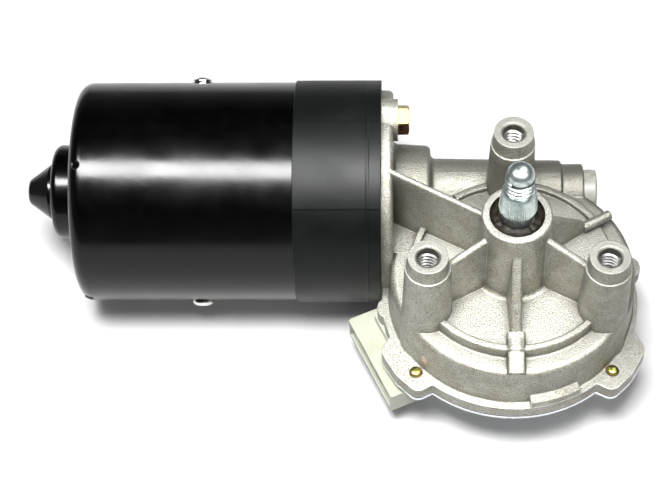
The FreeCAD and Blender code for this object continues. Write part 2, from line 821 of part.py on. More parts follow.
# Worm wheel: teeth lofted with the worm's lead angle, a thin web, and a hub that turns on the shaft's seat.
def worm_wheel():
    face = value("wheel_face_width")
    middle = -value("worm_depth")
    pitch_radius = value("tooth_module * wheel_teeth / 2")
    shift = value("tooth_module / 2 / worm_pitch_radius") * face / 2 / pitch_radius
    low = rim_wire(middle - face / 2, -shift)
    high = rim_wire(middle + face / 2, shift)
    blank = Part.makeLoft([low, high], True, True)
    rim_inner = value("tooth_module * (wheel_teeth / 2 - 1) - tooth_tip_gap - wheel_rim_depth")
    web = value("wheel_web_thickness")
    hub = value("wheel_hub_radius")
    bottom = middle - value("wheel_hub_drop")
    top = -value(f"{CHAMBER_TOP} + washer_thickness + end_float")
    seat = value("wheel_seat_radius")
    for start, depth in ((middle - face / 2, (face - web) / 2), (middle + web / 2, (face - web) / 2)):
        recess = Part.makeCylinder(rim_inner, depth, Vector(0, 0, start))
        blank = blank.cut(recess)
    park_ring = Part.makeCylinder(value("park_disc_radius"), middle - bottom, Vector(0, 0, bottom))
    park_ring = park_ring.cut(Part.makeCylinder(
        value("park_disc_radius") - 3, middle - bottom - web / 2, Vector(0, 0, bottom)))
    blank = blank.fuse([Part.makeCylinder(hub, top - bottom, Vector(0, 0, bottom)), park_ring])
    bore = Part.makeCylinder(seat, top - bottom + 2, Vector(0, 0, bottom - 1))
    above = Part.makeCylinder(value("output_radius + 0.3"), 4, Vector(0, 0, -value(CHAMBER_TOP) - 3))
    blank = blank.cut([bore, above]).removeSplitter()
    feature = doc.addObject("Part::Feature", "worm_wheel")
    feature.Label = "worm_wheel"
    feature.Shape = blank
    return feature


def park_disc():
    body = new_body("park_disc")
    low = "-worm_depth - wheel_hub_drop - park_disc_thickness"
    turned(body, "disc", tube_corners(
        "park_disc_bore_radius", "park_disc_radius", low, "-worm_depth - wheel_hub_drop"))
    corners = [
        ("park_disc_radius - 5", "-7"), ("park_disc_radius + 2", "-7"),
        ("park_disc_radius + 2", "7"), ("park_disc_radius - 5", "7"),
    ]
    outline = sketch_outline(body, "notch_outline", "XY_Plane", corners,
                             ("0", "0", low + " - 1"), Rotation(Vector(0, 0, 1), 0))
    padded(body, "notch", outline, "park_disc_thickness + 2", cut=True, reverse=True)
    return body


def armature_shaft():
    body = new_body("armature_shaft", AXIS)
    root = "worm_pitch_radius - tooth_module - 0.2"
    half_worm = f"worm_length_turns * {LEAD} / 2 + tooth_module"
    turned(body, "shaft", [
        ("hump_back + 1", "0"),
        ("hump_back + 1", "journal_radius - 0.03", "cast_round"),
        ("can_back + can_wall + 1", "journal_radius - 0.03"),
        ("can_back + can_wall + 1", "shaft_radius"),
        (f"-({half_worm}) - 1", "shaft_radius"),
        (f"-({half_worm})", root),
        (half_worm, root),
        (half_worm, "journal_radius"),
        ("end_bush_start + end_bush_length", "journal_radius", "cast_round"),
        ("end_bush_start + end_bush_length", "0"),
    ], "X_Axis")
    crest = "worm_pitch_radius + tooth_module"
    slope = "tan(pressure_angle)"
    half = f"({LEAD} - tooth_backlash) / 4"
    start = f"-{LEAD} * worm_length_turns / 2"
    foot = f"{root} - 0.3"
    corners = [
        (f"{start} - {half} - {slope} * (worm_pitch_radius - ({foot}))", f"-({foot})"),
        (f"{start} - {half} + {slope} * tooth_module", f"-({crest})"),
        (f"{start} + {half} - {slope} * tooth_module", f"-({crest})"),
        (f"{start} + {half} + {slope} * (worm_pitch_radius - ({foot}))", f"-({foot})"),
    ]
    profile = sketch_outline(body, "thread_profile", "XY_Plane", corners)
    thread = body.newObject("PartDesign::AdditiveHelix", "worm")
    thread.Profile = (profile, [""])
    thread.ReferenceAxis = (origin_feature(body, "X_Axis"), [""])
    thread.Mode = 0
    bind(thread, "Pitch", LEAD)
    bind(thread, "Height", f"worm_length_turns * {LEAD}")
    thread.LeftHanded = False
    thread.Reversed = False
    return body


def slotted(body, name, corners, start, length, count):
    outline = sketch_outline(body, name + "_outline", "YZ_Plane", corners, ("0", "0", start))
    slot = padded(body, name, outline, length, cut=True, reverse=True)
    pattern = body.newObject("PartDesign::PolarPattern", name + "s")
    pattern.Originals = [slot]
    pattern.Axis = (origin_feature(body, "X_Axis"), [""])
    pattern.Angle = 360
    bind(pattern, "Occurrences", count)
    body.Tip = pattern
    return pattern


# A slot's outline, seen along the shaft: narrow at the rim and widening behind the tooth tips.
def slot_corners(gap):
    mouth = f"slot_opening / 2 - {gap}"
    top = f"core_radius - tooth_tip_depth - {gap}"
    bottom = f"core_radius - slot_depth + {gap}"
    widest = f"core_radius * 0.16 - {gap}"
    narrow = f"core_radius * 0.06 - {gap} / 2"
    return mouth, top, bottom, widest, narrow


def armature_core():
    body = new_body("armature_core", AXIS)
    turned(body, "stack", tube_along("shaft_radius", "core_radius", "core_start", "core_end"), "X_Axis")
    mouth, top, bottom, widest, narrow = slot_corners("0")
    slotted(body, "slot", [
        (f"-({mouth})", "core_radius + 1"), (f"-({mouth})", top), (f"-({widest})", f"{top} - 1"),
        (f"-({narrow})", bottom), (narrow, bottom), (widest, f"{top} - 1"), (mouth, top),
        (mouth, "core_radius + 1"),
    ], "core_start - 1", "core_end - core_start + 2", "slot_count")
    return body


def windings():
    body = new_body("windings", AXIS)
    mouth, top, bottom, widest, narrow = slot_corners("winding_gap")
    inner = "shaft_radius + 3"
    for name, start, end in (
        ("back_turns", "core_start - winding_overhang", "core_start - winding_gap / 2"),
        ("front_turns", "core_end + winding_gap / 2", "core_end + winding_overhang"),
    ):
        turned(body, name, [
            (start, inner, "root_round"), (end, inner, "root_round"),
            (end, top, "root_round"), (start, top, "root_round"),
        ], "X_Axis")
    outline = sketch_outline(body, "bar_outline", "YZ_Plane", [
        (f"-({widest})", f"{top} - 1"), (f"-({narrow})", bottom), (narrow, bottom), (widest, f"{top} - 1"),
    ], ("0", "0", "core_start - winding_overhang / 2"))
    bar = padded(body, "bar", outline, "core_end - core_start + winding_overhang")
    pattern = body.newObject("PartDesign::PolarPattern", "bars")
    pattern.Originals = [bar]
    pattern.Axis = (origin_feature(body, "X_Axis"), [""])
    pattern.Angle = 360
    bind(pattern, "Occurrences", "slot_count")
    body.Tip = pattern
    return body


def commutator():
    body = new_body("commutator", AXIS)
    turned(body, "drum", [
        ("commutator_start", "shaft_radius"),
        ("commutator_end", "shaft_radius"),
        ("commutator_end", "commutator_radius", "cast_round"),
        ("commutator_start", "commutator_radius"),
        ("commutator_start", "commutator_radius + 2"),
        ("commutator_start - 3", "commutator_radius + 2"),
        ("commutator_start - 3", "shaft_radius"),
    ], "X_Axis")
    half = "commutator_cut / 2"
    slotted(body, "cut", [
        (f"-{half}", "commutator_radius - 1.2"), (half, "commutator_radius - 1.2"),
        (half, "commutator_radius + 3"), (f"-{half}", "commutator_radius + 3"),
    ], "commutator_start - 2", "commutator_end - commutator_start + 3", "slot_count")
    return body


def bearing_parts():
    back = "bearing_front - bearing_width"
    middle = "(bearing_front - bearing_width / 2)"
    pitch = "((shaft_radius + bearing_outer_radius) / 2)"
    track = "ball_radius + race_clearance"
    shoulder = "ball_radius * 0.55"
    outer_land = f"{pitch} + {shoulder}"
    inner_land = f"{pitch} - {shoulder}"
    for label, low, high in (
        ("bearing_outer_ring", outer_land, "bearing_outer_radius"),
        ("bearing_inner_ring", "shaft_radius", inner_land),
    ):
        body = new_body(label, AXIS)
        turned(body, "ring", tube_along(low, high, back, "bearing_front"), "X_Axis")
        groove = body.newObject("PartDesign::SubtractiveTorus", "track")
        bind(groove, "Radius1", pitch)
        bind(groove, "Radius2", track)
        place(groove, (middle, "0", "0"), ALONG_X)
        keep(body)
    ball = doc.addObject("Part::Sphere", "bearing_ball")
    bind(ball, "Radius", "ball_radius")
    doc.recompute()
    spots = []
    count = int(value("ball_count"))
    for number in range(count):
        angle = 2 * math.pi * number / count
        spots.append(Placement(Vector(value(middle), value(pitch) * math.cos(angle),
                                      value(pitch) * math.sin(angle)), Rotation()))
    keep(group("bearing_balls", ball.Shape, spots, armature_frame()))
    cage = new_body("bearing_cage", AXIS)
    turned(cage, "band", tube_along(f"{pitch} - 0.5", f"{pitch} + 0.5", f"{middle} - 2.6", f"{middle} + 2.6"),
           "X_Axis")
    pocket = cage.newObject("PartDesign::SubtractiveSphere", "pocket")
    bind(pocket, "Radius", "ball_radius + race_clearance")
    place(pocket, (middle, "0", pitch))
    pattern = cage.newObject("PartDesign::PolarPattern", "pockets")
    pattern.Originals = [pocket]
    pattern.Axis = (origin_feature(cage, "X_Axis"), [""])
    pattern.Angle = 360
    bind(pattern, "Occurrences", "ball_count")
    cage.Tip = pattern
    keep(cage)


def armature_frame(turn=0):
    return Placement(Vector(0, value(CENTRE), value("-worm_depth")), Rotation(Vector(1, 0, 0), turn))


def tunnel_parts():
    keep(ring("worm_end_bush", tube_along(
        "journal_radius + running_clearance", "end_bush_radius",
        "end_bush_start", "end_bush_start + end_bush_length"), AXIS, "X_Axis"))
    start = "(end_bush_start + end_bush_length + end_float)"
    keep(ring("thrust_pad", [
        (start, "0"),
        (start, "thrust_pad_radius", "cast_round"),
        (f"{start} + thrust_pad_length", "thrust_pad_radius"),
        (f"{start} + thrust_pad_length", "0"),
    ], AXIS, "X_Axis"))
    plug = new_body("thrust_plug", AXIS)
    seat = f"{start} + thrust_pad_length"
    turned(plug, "plug", [
        (seat, "0"),
        (seat, "end_bush_radius - running_clearance", "cast_round"),
        ("nose_end", "end_bush_radius - running_clearance"),
        ("nose_end", "plug_head_radius"),
        ("nose_end + plug_head_length", "plug_head_radius", "cast_round"),
        ("nose_end + plug_head_length", "0"),
    ], "X_Axis")
    socket = "plug_socket_radius"
    corners = [(f"{socket} * cos({60 * k})", f"{socket} * sin({60 * k})") for k in range(6)]
    outline = sketch_outline(plug, "socket_outline", "YZ_Plane", corners,
                             ("0", "0", "nose_end + plug_head_length"))
    padded(plug, "socket", outline, "plug_head_length", cut=True)
    keep(plug)


def can_parts():
    inner = "(can_radius - can_wall)"
    can = new_body("yoke_can", AXIS)
    turned(can, "can", [
        ("can_mouth", inner),
        ("can_mouth", "can_radius"),
        ("can_back", "can_radius", "can_corner_round"),
        ("can_back", "hump_radius", "root_round"),
        ("hump_back", "hump_radius", "hump_round"),
        ("hump_back", "rear_bush_radius"),
        ("hump_back + can_wall", "rear_bush_radius"),
        ("hump_back + can_wall", "hump_radius - can_wall", "hump_round / 2"),
        ("can_back + can_wall", "hump_radius - can_wall", "root_round"),
        ("can_back + can_wall", inner, "can_corner_round - can_wall"),
    ], "X_Axis")
    for number in range(2):
        angle = f"rivet_turn + {180 * number}"
        hole = round_bar(can, f"rivet_hole{number}", "rivet_shank_radius + running_clearance",
                         "rivet_shank_radius + running_clearance", "can_radius",
                         ("rivet_place", "0", "0"), cut=True)
        turn = Rotation(Vector(1, 0, 0), -value(angle))
        hole.Placement = Placement(Vector(value("rivet_place"), 0, 0), turn)
    keep(can)
    keep(ring("joint_sleeve", [
        ("sleeve_start", "can_radius"),
        ("can_mouth", "can_radius"),
        ("can_mouth", "can_radius + sleeve_wall", "sleeve_wall / 2"),
        ("sleeve_start", "can_radius + sleeve_wall", "sleeve_wall / 2"),
    ], AXIS, "X_Axis"))
    keep(ring("end_cap", [
        ("hump_back + can_wall", "rear_bush_radius - 1.6"),
        ("hump_back + can_wall", "rear_bush_radius"),
        ("hump_back", "rear_bush_radius"),
        ("hump_back", "cap_radius"),
        ("hump_back - 2", "cap_radius", "1.2"),
        ("cap_tip", "cap_radius * 0.42", "2.4"),
        ("cap_tip", "0"),
        ("cap_tip + 1.6", "0"),
        ("cap_tip + 1.6", "cap_radius * 0.3", "1.2"),
        ("hump_back - 1", "rear_bush_radius - 1.6"),
    ], AXIS, "X_Axis"))
    keep(ring("rear_bush", [
        ("rear_bush_start", "journal_radius"),
        ("rear_bush_end", "journal_radius"),
        ("rear_bush_end", "rear_bush_radius - 2"),
        ("(rear_bush_start + rear_bush_end) / 2", "rear_bush_radius"),
        ("rear_bush_start", "rear_bush_radius - 2"),
    ], AXIS, "X_Axis"))
    middle = "(rear_bush_start + rear_bush_end) / 2"
    keep(ring("bush_clip", [
        (middle, "rear_bush_radius + 0.1"),
        (f"{middle} + clip_thickness", "rear_bush_radius + 0.1"),
        (f"{middle} + clip_thickness", "hump_radius - can_wall"),
        (middle, "hump_radius - can_wall"),
    ], AXIS, "X_Axis"))
    keep(ring("oil_felt", [
        (f"{middle} - felt_thickness - 0.4", "rear_bush_radius + 0.3"),
        (f"{middle} - 0.4", "rear_bush_radius + 0.3"),
        (f"{middle} - 0.4", "hump_radius - can_wall - 0.3"),
        (f"{middle} - felt_thickness - 0.4", "hump_radius - can_wall - 0.3"),
    ], AXIS, "X_Axis"))


def magnet_parts():
    item = new_body("magnet")
    corners = tube_along("core_radius + air_gap", "can_radius - can_wall", "magnet_start", "magnet_end")
    turned(item, "arc", corners, "X_Axis", span="magnet_span")
    rivet = new_body("magnet_rivet")
    turned(rivet, "rivet", [
        ("0", "can_radius - can_wall"),
        ("rivet_shank_radius", "can_radius - can_wall"),
        ("rivet_shank_radius", "can_radius"),
        ("rivet_head_radius", "can_radius"),
        ("rivet_head_radius", "can_radius + rivet_head_height * 0.45", "rivet_head_height * 0.3"),
        ("rivet_head_radius * 0.55", "can_radius + rivet_head_height", "rivet_head_height"),
        ("0", "can_radius + rivet_head_height"),
    ])
    doc.recompute()
    turn = -value("rivet_turn")
    turns = [Placement(Vector(), Rotation(Vector(1, 0, 0), turn + 180 * number)) for number in range(2)]
    keep(group("magnets", item.Shape, turns, armature_frame()))
    slide = Placement(Vector(value("rivet_place"), 0, 0), Rotation())
    keep(group("magnet_rivets", rivet.Shape, [spot * slide for spot in turns], armature_frame()))


def bolt_parts():
    bolt = new_body("long_bolt")
    hexagon = [(f"bolt_head_radius * cos({60 * k})", f"bolt_head_radius * sin({60 * k})") for k in range(6)]
    head = sketch_outline(bolt, "head_outline", "YZ_Plane", hexagon, ("0", "0", "bolt_seat"))
    padded(bolt, "head", head, "bolt_head_height")
    end = "(spigot_end - brush_plate_thickness - anchor_length)"
    round_bar(bolt, "shank", "bolt_radius", "bolt_radius", f"bolt_seat - {end}",
              (end, "0", "0"), ALONG_X)
    anchor = new_body("anchor")
    side = "anchor_radius"
    corners = [(f"-{side}", f"-{side}"), (side, f"-{side}"), (side, side), (f"-{side}", side)]
    outline = sketch_outline(anchor, "block_outline", "YZ_Plane", corners, ("0", "0", end))
    padded(anchor, "block", outline, "anchor_length")
    round_bar(anchor, "thread", "bolt_radius", "bolt_radius", "anchor_length + 2",
              (end + " - 1", "0", "0"), ALONG_X, cut=True)
    doc.recompute()
    spots = []
    for number in range(2):
        turn = Rotation(Vector(1, 0, 0), -value("bolt_turn") + 180 * number)
        out = Placement(Vector(0, 0, value("bolt_circle_radius")), Rotation())
        spots.append(Placement(Vector(), turn) * out)
    keep(group("long_bolts", bolt.Shape, spots, armature_frame()))
    inside = Part.makeCylinder(value("can_radius - can_wall"), value("can_mouth - can_back"),
                               Vector(value("can_back"), 0, 0), Vector(1, 0, 0))
    blocks = []
    for spot in spots:
        block = anchor.Shape.copy()
        block.Placement = spot
        blocks.append(block.common(inside))
    feature = doc.addObject("Part::Feature", "bolt_anchors")
    feature.Label = "bolt_anchors"
    feature.Shape = Part.makeCompound(blocks)
    feature.Placement = armature_frame()
    keep(feature)


# The brushes stand square to the middle of the magnets, so their frame turns with the magnets.
def brush_parts():
    plate = new_body("brush_plate", AXIS)
    turned(plate, "plate", tube_along(
        "brush_plate_bore_radius", SPIGOT_RADIUS,
        "spigot_end - brush_plate_thickness", "spigot_end"), "X_Axis")
    for number in range(2):
        angle = f"bolt_turn + {180 * number}"
        round_bar(plate, f"bolt_hole{number}", "bolt_radius + bolt_clearance", "bolt_radius + bolt_clearance",
                  "brush_plate_thickness + 2",
                  ("spigot_end - brush_plate_thickness - 1", f"bolt_circle_radius * sin({angle})",
                   f"bolt_circle_radius * cos({angle})"), ALONG_X, cut=True)
    keep(plate)
    wide = "(brush_width / 2 + brush_gap)"
    long_side = "(brush_length_along / 2 + brush_gap)"
    holder = new_body("holder")
    low = f"brush_place - {long_side} - holder_wall"
    corners = [
        (low, f"-{wide} - holder_wall"),
        ("spigot_end - brush_plate_thickness", f"-{wide} - holder_wall"),
        ("spigot_end - brush_plate_thickness", f"{wide} + holder_wall"),
        (low, f"{wide} + holder_wall"),
    ]
    outline = sketch_outline(holder, "box_outline", "XY_Plane", corners, ("0", "0", "holder_start_radius"))
    padded(holder, "box", outline, "holder_end_radius - holder_start_radius")
    corners = [
        (f"brush_place - {long_side}", f"-{wide}"), (f"brush_place + {long_side}", f"-{wide}"),
        (f"brush_place + {long_side}", wide), (f"brush_place - {long_side}", wide),
    ]
    outline = sketch_outline(holder, "slot_outline", "XY_Plane", corners,
                             ("0", "0", "holder_start_radius - 1"))
    padded(holder, "slot", outline, "holder_end_radius - holder_start_radius - holder_wall + 1",
           cut=True, reverse=True)
    brush = new_body("brush")
    half = "brush_length_along / 2"
    corners = [
        (f"brush_place - {half}", "-brush_width / 2"), (f"brush_place + {half}", "-brush_width / 2"),
        (f"brush_place + {half}", "brush_width / 2"), (f"brush_place - {half}", "brush_width / 2"),
    ]
    outline = sketch_outline(brush, "block_outline", "XY_Plane", corners, ("0", "0", "commutator_radius - 1"))
    padded(brush, "block", outline, "brush_end_radius - commutator_radius + 1")
    round_bar(brush, "face", "commutator_radius + brush_gap", "commutator_radius + brush_gap", "200",
              ("-190", "0", "0"), ALONG_X, cut=True)
    doc.recompute()
    start = value("brush_end_radius")
    reach = value("holder_end_radius - holder_wall") - start
    turns = value("spring_turns")
    helix = Part.makeHelix((reach - value("spring_wire")) / turns,
                           reach - value("spring_wire"), value("spring_radius"))
    wire = Part.Wire(Part.makeCircle(value("spring_wire") / 2, Vector(value("spring_radius"), 0, 0),
                                     Vector(0, 1, 0)))
    spring = Part.Wire(helix).makePipeShell([wire], True, True)
    spring.translate(Vector(value("brush_place"), 0, start + value("spring_wire") / 2))
    turns = []
    for number in range(2):
        turn = -value("rivet_turn") + 90 + 180 * number
        turns.append(Placement(Vector(), Rotation(Vector(1, 0, 0), turn)))
    frame = armature_frame()
    keep(group("brush_holders", holder.Shape, turns, frame))
    keep(group("brushes", brush.Shape, turns, frame))
    keep(group("brush_springs", spring, turns, frame))


# The connector hangs under the cover; its frame has x along the mouth, y out of the mouth.
def connector_parts():
    corner = Vector(value("connector_corner_x"), value("connector_corner_y"), 0)
    frame = Placement(corner, Rotation(Vector(0, 0, 1), value("connector_turn")))
    top = f"({COVER_BOTTOM} - connector_drop)"
    body = new_body("connector_block")
    corners = [
        ("0", "0", "cast_round"), ("connector_length", "0", "cast_round"),
        ("connector_length", "connector_depth", "root_round"), ("0", "connector_depth", "root_round"),
    ]
    outline = sketch_outline(body, "block_outline", "XY_Plane", corners,
                             ("0", "0", f"{top} - connector_height"))
    padded(body, "block", outline, "connector_height")
    corners = [
        ("connector_foot_start", "connector_depth / 2", "root_round"),
        ("connector_foot_end", "connector_depth / 2", "root_round"),
        ("connector_foot_end", "connector_depth"), ("connector_foot_start", "connector_depth"),
    ]
    outline = sketch_outline(body, "foot_outline", "XY_Plane", corners, ("0", "0", top))
    padded(body, "foot", outline, "connector_drop")
    wall = "connector_wall"
    corners = [
        (wall, "-1"), (f"connector_length - {wall}", "-1"),
        (f"connector_length - {wall}", "connector_mouth_depth"), (wall, "connector_mouth_depth"),
    ]
    outline = sketch_outline(body, "mouth_outline", "XY_Plane", corners,
                             ("0", "0", f"{top} - connector_height + {wall}"))
    padded(body, "mouth", outline, f"connector_height - 2 * {wall}", cut=True, reverse=True)
    ways = int(value("connector_ways"))
    pitch = value("(connector_length - 2 * connector_wall)") / ways
    blade_size = (value("blade_width"), value("blade_length + 4"), value("blade_thickness"))
    level = value(f"{top} - connector_height / 2 - blade_thickness / 2")
    blades = []
    for number in range(ways):
        across = value(wall) + pitch * (number + 0.5) - blade_size[0] / 2
        near = value("connector_mouth_depth - blade_length")
        blades.append(Part.makeBox(*blade_size, Vector(across, near, level)))
    doc.recompute()
    cutters = Part.makeCompound(blades)
    feature = doc.addObject("Part::Feature", "connector_blades")
    feature.Label = "connector_blades"
    feature.Shape = cutters
    feature.Placement = frame
    block = doc.addObject("Part::Feature", "connector_housing")
    block.Label = "connector_housing"
    block.Shape = body.Shape.cut(cutters)
    block.Placement = frame
    keep(block)
    keep(feature)


# An insulating carrier on the cover's inner face, with three spring fingers that reach the park disc.
def contact_parts():
    body = new_body("contact_carrier")
    half = "carrier_width / 2"
    left = "-carrier_length / 2 - 6"
    corners = [
        (left, f"-{half}", "root_round"), (f"{left} + carrier_length", f"-{half}", "root_round"),
        (f"{left} + carrier_length", half, "root_round"), (left, half, "root_round"),
    ]
    low = "-flange_bottom_depth - gasket_thickness"
    outline = sketch_outline(body, "plate_outline", "XY_Plane", corners, ("0", "0", low))
    padded(body, "plate", outline, "carrier_thickness")
    keep(body)
    base = value(f"{low} + carrier_thickness")
    disc = value("-worm_depth - wheel_hub_drop - park_disc_thickness - end_float")
    thick = value("finger_thickness")
    wide = value("finger_width")
    foot = value("finger_foot_length")
    fingers = []
    for number in range(3):
        middle = (number - 1) * value("finger_pitch")
        start = value(f"{left} + carrier_length - 3")
        reach = -value("park_disc_bore_radius") - 3 - (number * 2)
        points = [
            Vector(start, 0, base), Vector(start - foot, 0, base), Vector(reach + 1.5, 0, disc - thick),
            Vector(reach - 1.5, 0, disc - thick), Vector(reach - 1.5, 0, disc), Vector(reach + 2, 0, disc),
            Vector(start - foot + thick, 0, base + thick), Vector(start, 0, base + thick),
        ]
        face = Part.Face(Part.makePolygon(points + points[:1]))
        finger = face.extrude(Vector(0, wide, 0))
        finger.translate(Vector(0, middle - wide / 2, 0))
        fingers.append(finger)
    feature = doc.addObject("Part::Feature", "contact_fingers")
    feature.Label = "contact_fingers"
    feature.Shape = Part.makeCompound(fingers)
    keep(feature)


keep(gear_housing())
keep(cover_gasket())
keep(cover_plate())
keep(cover_screws())
output_parts()
keep(worm_wheel())
keep(park_disc())
keep(armature_shaft())
keep(armature_core())
keep(windings())
keep(commutator())
bearing_parts()
tunnel_parts()
can_parts()
magnet_parts()
bolt_parts()
brush_parts()
connector_parts()
contact_parts()
doc.recompute()

for item in doc.Objects:
    if "Invalid" in item.State or "Error" in item.State:
        raise RuntimeError(f"{item.Label} is {item.State}")
for item in parts:
    if item.Shape.isNull() or not item.Shape.isValid():
        raise RuntimeError(f"{item.Label} has no valid shape")
os.makedirs("parts", exist_ok=True)
for item in parts:
    item.Shape.exportStep(f"parts/{item.Label}.step")
    print(item.Label, len(item.Shape.Solids), round(item.Shape.Volume, 1))
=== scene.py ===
import bmesh
import bpy
import math
from mathutils import Matrix, Vector, noise


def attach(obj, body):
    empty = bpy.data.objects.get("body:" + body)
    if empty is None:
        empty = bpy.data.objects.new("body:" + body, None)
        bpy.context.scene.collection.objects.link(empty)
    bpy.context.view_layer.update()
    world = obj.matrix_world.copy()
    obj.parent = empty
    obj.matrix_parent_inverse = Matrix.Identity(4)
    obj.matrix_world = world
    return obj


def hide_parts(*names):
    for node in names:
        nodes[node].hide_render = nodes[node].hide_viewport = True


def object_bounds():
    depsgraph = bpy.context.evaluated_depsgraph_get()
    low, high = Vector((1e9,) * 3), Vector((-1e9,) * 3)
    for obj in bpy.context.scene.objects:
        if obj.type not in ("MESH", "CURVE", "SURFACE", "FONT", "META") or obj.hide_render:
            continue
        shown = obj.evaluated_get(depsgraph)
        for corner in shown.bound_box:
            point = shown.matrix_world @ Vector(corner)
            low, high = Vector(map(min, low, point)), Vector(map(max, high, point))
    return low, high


# Looks of a wiper motor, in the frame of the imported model: +Z runs up the output shaft,
# +X along the armature away from the can. Sizes are typed in millimetres.

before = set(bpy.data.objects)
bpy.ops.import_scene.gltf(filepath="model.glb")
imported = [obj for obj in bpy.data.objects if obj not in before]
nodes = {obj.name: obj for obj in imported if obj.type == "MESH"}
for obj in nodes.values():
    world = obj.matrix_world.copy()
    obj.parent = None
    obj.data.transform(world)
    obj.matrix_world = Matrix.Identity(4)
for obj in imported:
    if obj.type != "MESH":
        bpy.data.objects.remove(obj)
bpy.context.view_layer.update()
mm = 0.001
print("frame loaded with", len(nodes), "nodes")


# A move to a place on a circle about Z, with the turn in degrees.
def onCircle(radius, turn, height=0.0):
    angle = math.radians(turn)
    return Matrix.Translation((radius * math.cos(angle), radius * math.sin(angle), height))


# A turn in degrees about one axis.
def turned(angle, axis):
    return Matrix.Rotation(math.radians(angle), 4, axis)


# Adds a shader node: its settings come first, then the values or links of its sockets.
def add(tree, kind, settings, inputs, output=0):
    node = tree.nodes.new(kind)
    for name, setting in settings.items():
        setattr(node, name, setting)
    for name, given in inputs.items():
        socket = node.inputs[name]
        if isinstance(given, Wire):
            tree.links.new(given.socket, socket)
        elif socket.type == "RGBA":
            socket.default_value = (*given, 1)
        else:
            socket.default_value = given
    return Wire(node.outputs[output]) if node.outputs else None


# One socket of a shader. Sums on it add Math nodes.
class Wire:
    def __init__(self, socket):
        self.socket = socket

    def math(self, operation, other):
        return add(self.socket.id_data, "ShaderNodeMath", {"operation": operation}, {0: self, 1: other})

    def __add__(self, other):
        return self.math("ADD", other)

    def __sub__(self, other):
        return self.math("SUBTRACT", other)

    def __mul__(self, other):
        return self.math("MULTIPLY", other)

    __radd__ = __add__


# A material in the making, with the patterns that the finishes share.
class Surface:
    def __init__(self, name):
        self.material = bpy.data.materials.new(name)
        self.material.use_nodes = True
        self.tree = self.material.node_tree
        self.tree.nodes.clear()
        self.place = self.add("ShaderNodeTexCoord", {}, {}, "Object")

    def add(self, kind, settings, inputs, output=0):
        return add(self.tree, kind, settings, inputs, output)

    # size is the grain in millimetres
    def noise(self, size, detail):
        return self.add("ShaderNodeTexNoise", {}, {
            "Vector": self.place, "Scale": 1 / (size * mm), "Detail": detail})

    # ramps a value, from toLow at low to toHigh at high
    def ramp(self, wire, low, high, toLow=0.0, toHigh=1.0):
        return self.add("ShaderNodeMapRange", {}, {
            "Value": wire, "From Min": low, "From Max": high, "To Min": toLow, "To Max": toHigh})

    # ramps a place or a distance, with low and high in millimetres
    def reach(self, wire, low, high, toLow=0.0, toHigh=1.0):
        return self.ramp(wire, low * mm, high * mm, toLow, toHigh)

    # a noise as an uneven shift, up to half of size to each side, in millimetres
    def ragged(self, wire, size):
        return (wire - 0.5) * (size * mm)

    def blend(self, factor, first, second):
        return self.add("ShaderNodeMix", {"data_type": "RGBA"}, {0: factor, 6: first, 7: second}, 2)

    # distance from centre, which is in millimetres; an axis with scale 0 doesn't count
    def distance(self, centre, scale=(1, 1, 1)):
        moved = self.add("ShaderNodeMapping", {}, {
            "Vector": self.place, "Scale": scale,
            "Location": [-c * s * mm for c, s in zip(centre, scale)]})
        return self.add("ShaderNodeVectorMath", {"operation": "LENGTH"}, {0: moved}, "Value")

    def along(self, axis):
        return self.add("ShaderNodeSeparateXYZ", {}, {0: self.place}, axis)

    # 1 where the surface faces up
    def upward(self):
        normal = self.add("ShaderNodeTexCoord", {}, {}, "Normal")
        return self.add("ShaderNodeSeparateXYZ", {}, {0: normal}, "Z")

    # depth in millimetres
    def bump(self, height, strength, depth, normal=None):
        inputs = {"Height": height, "Strength": strength, "Distance": depth * mm}
        if normal:
            inputs["Normal"] = normal
        return self.add("ShaderNodeBump", {}, inputs, "Normal")

    def finish(self, inputs):
        shader = self.add("ShaderNodeBsdfPrincipled", {}, inputs)
        self.add("ShaderNodeOutputMaterial", {}, {"Surface": shader})
        return self.material


# scales for a distance from an upright line, and for one along X alone
fromUpright = (1, 1, 0)
acrossX = (1, 0, 0)

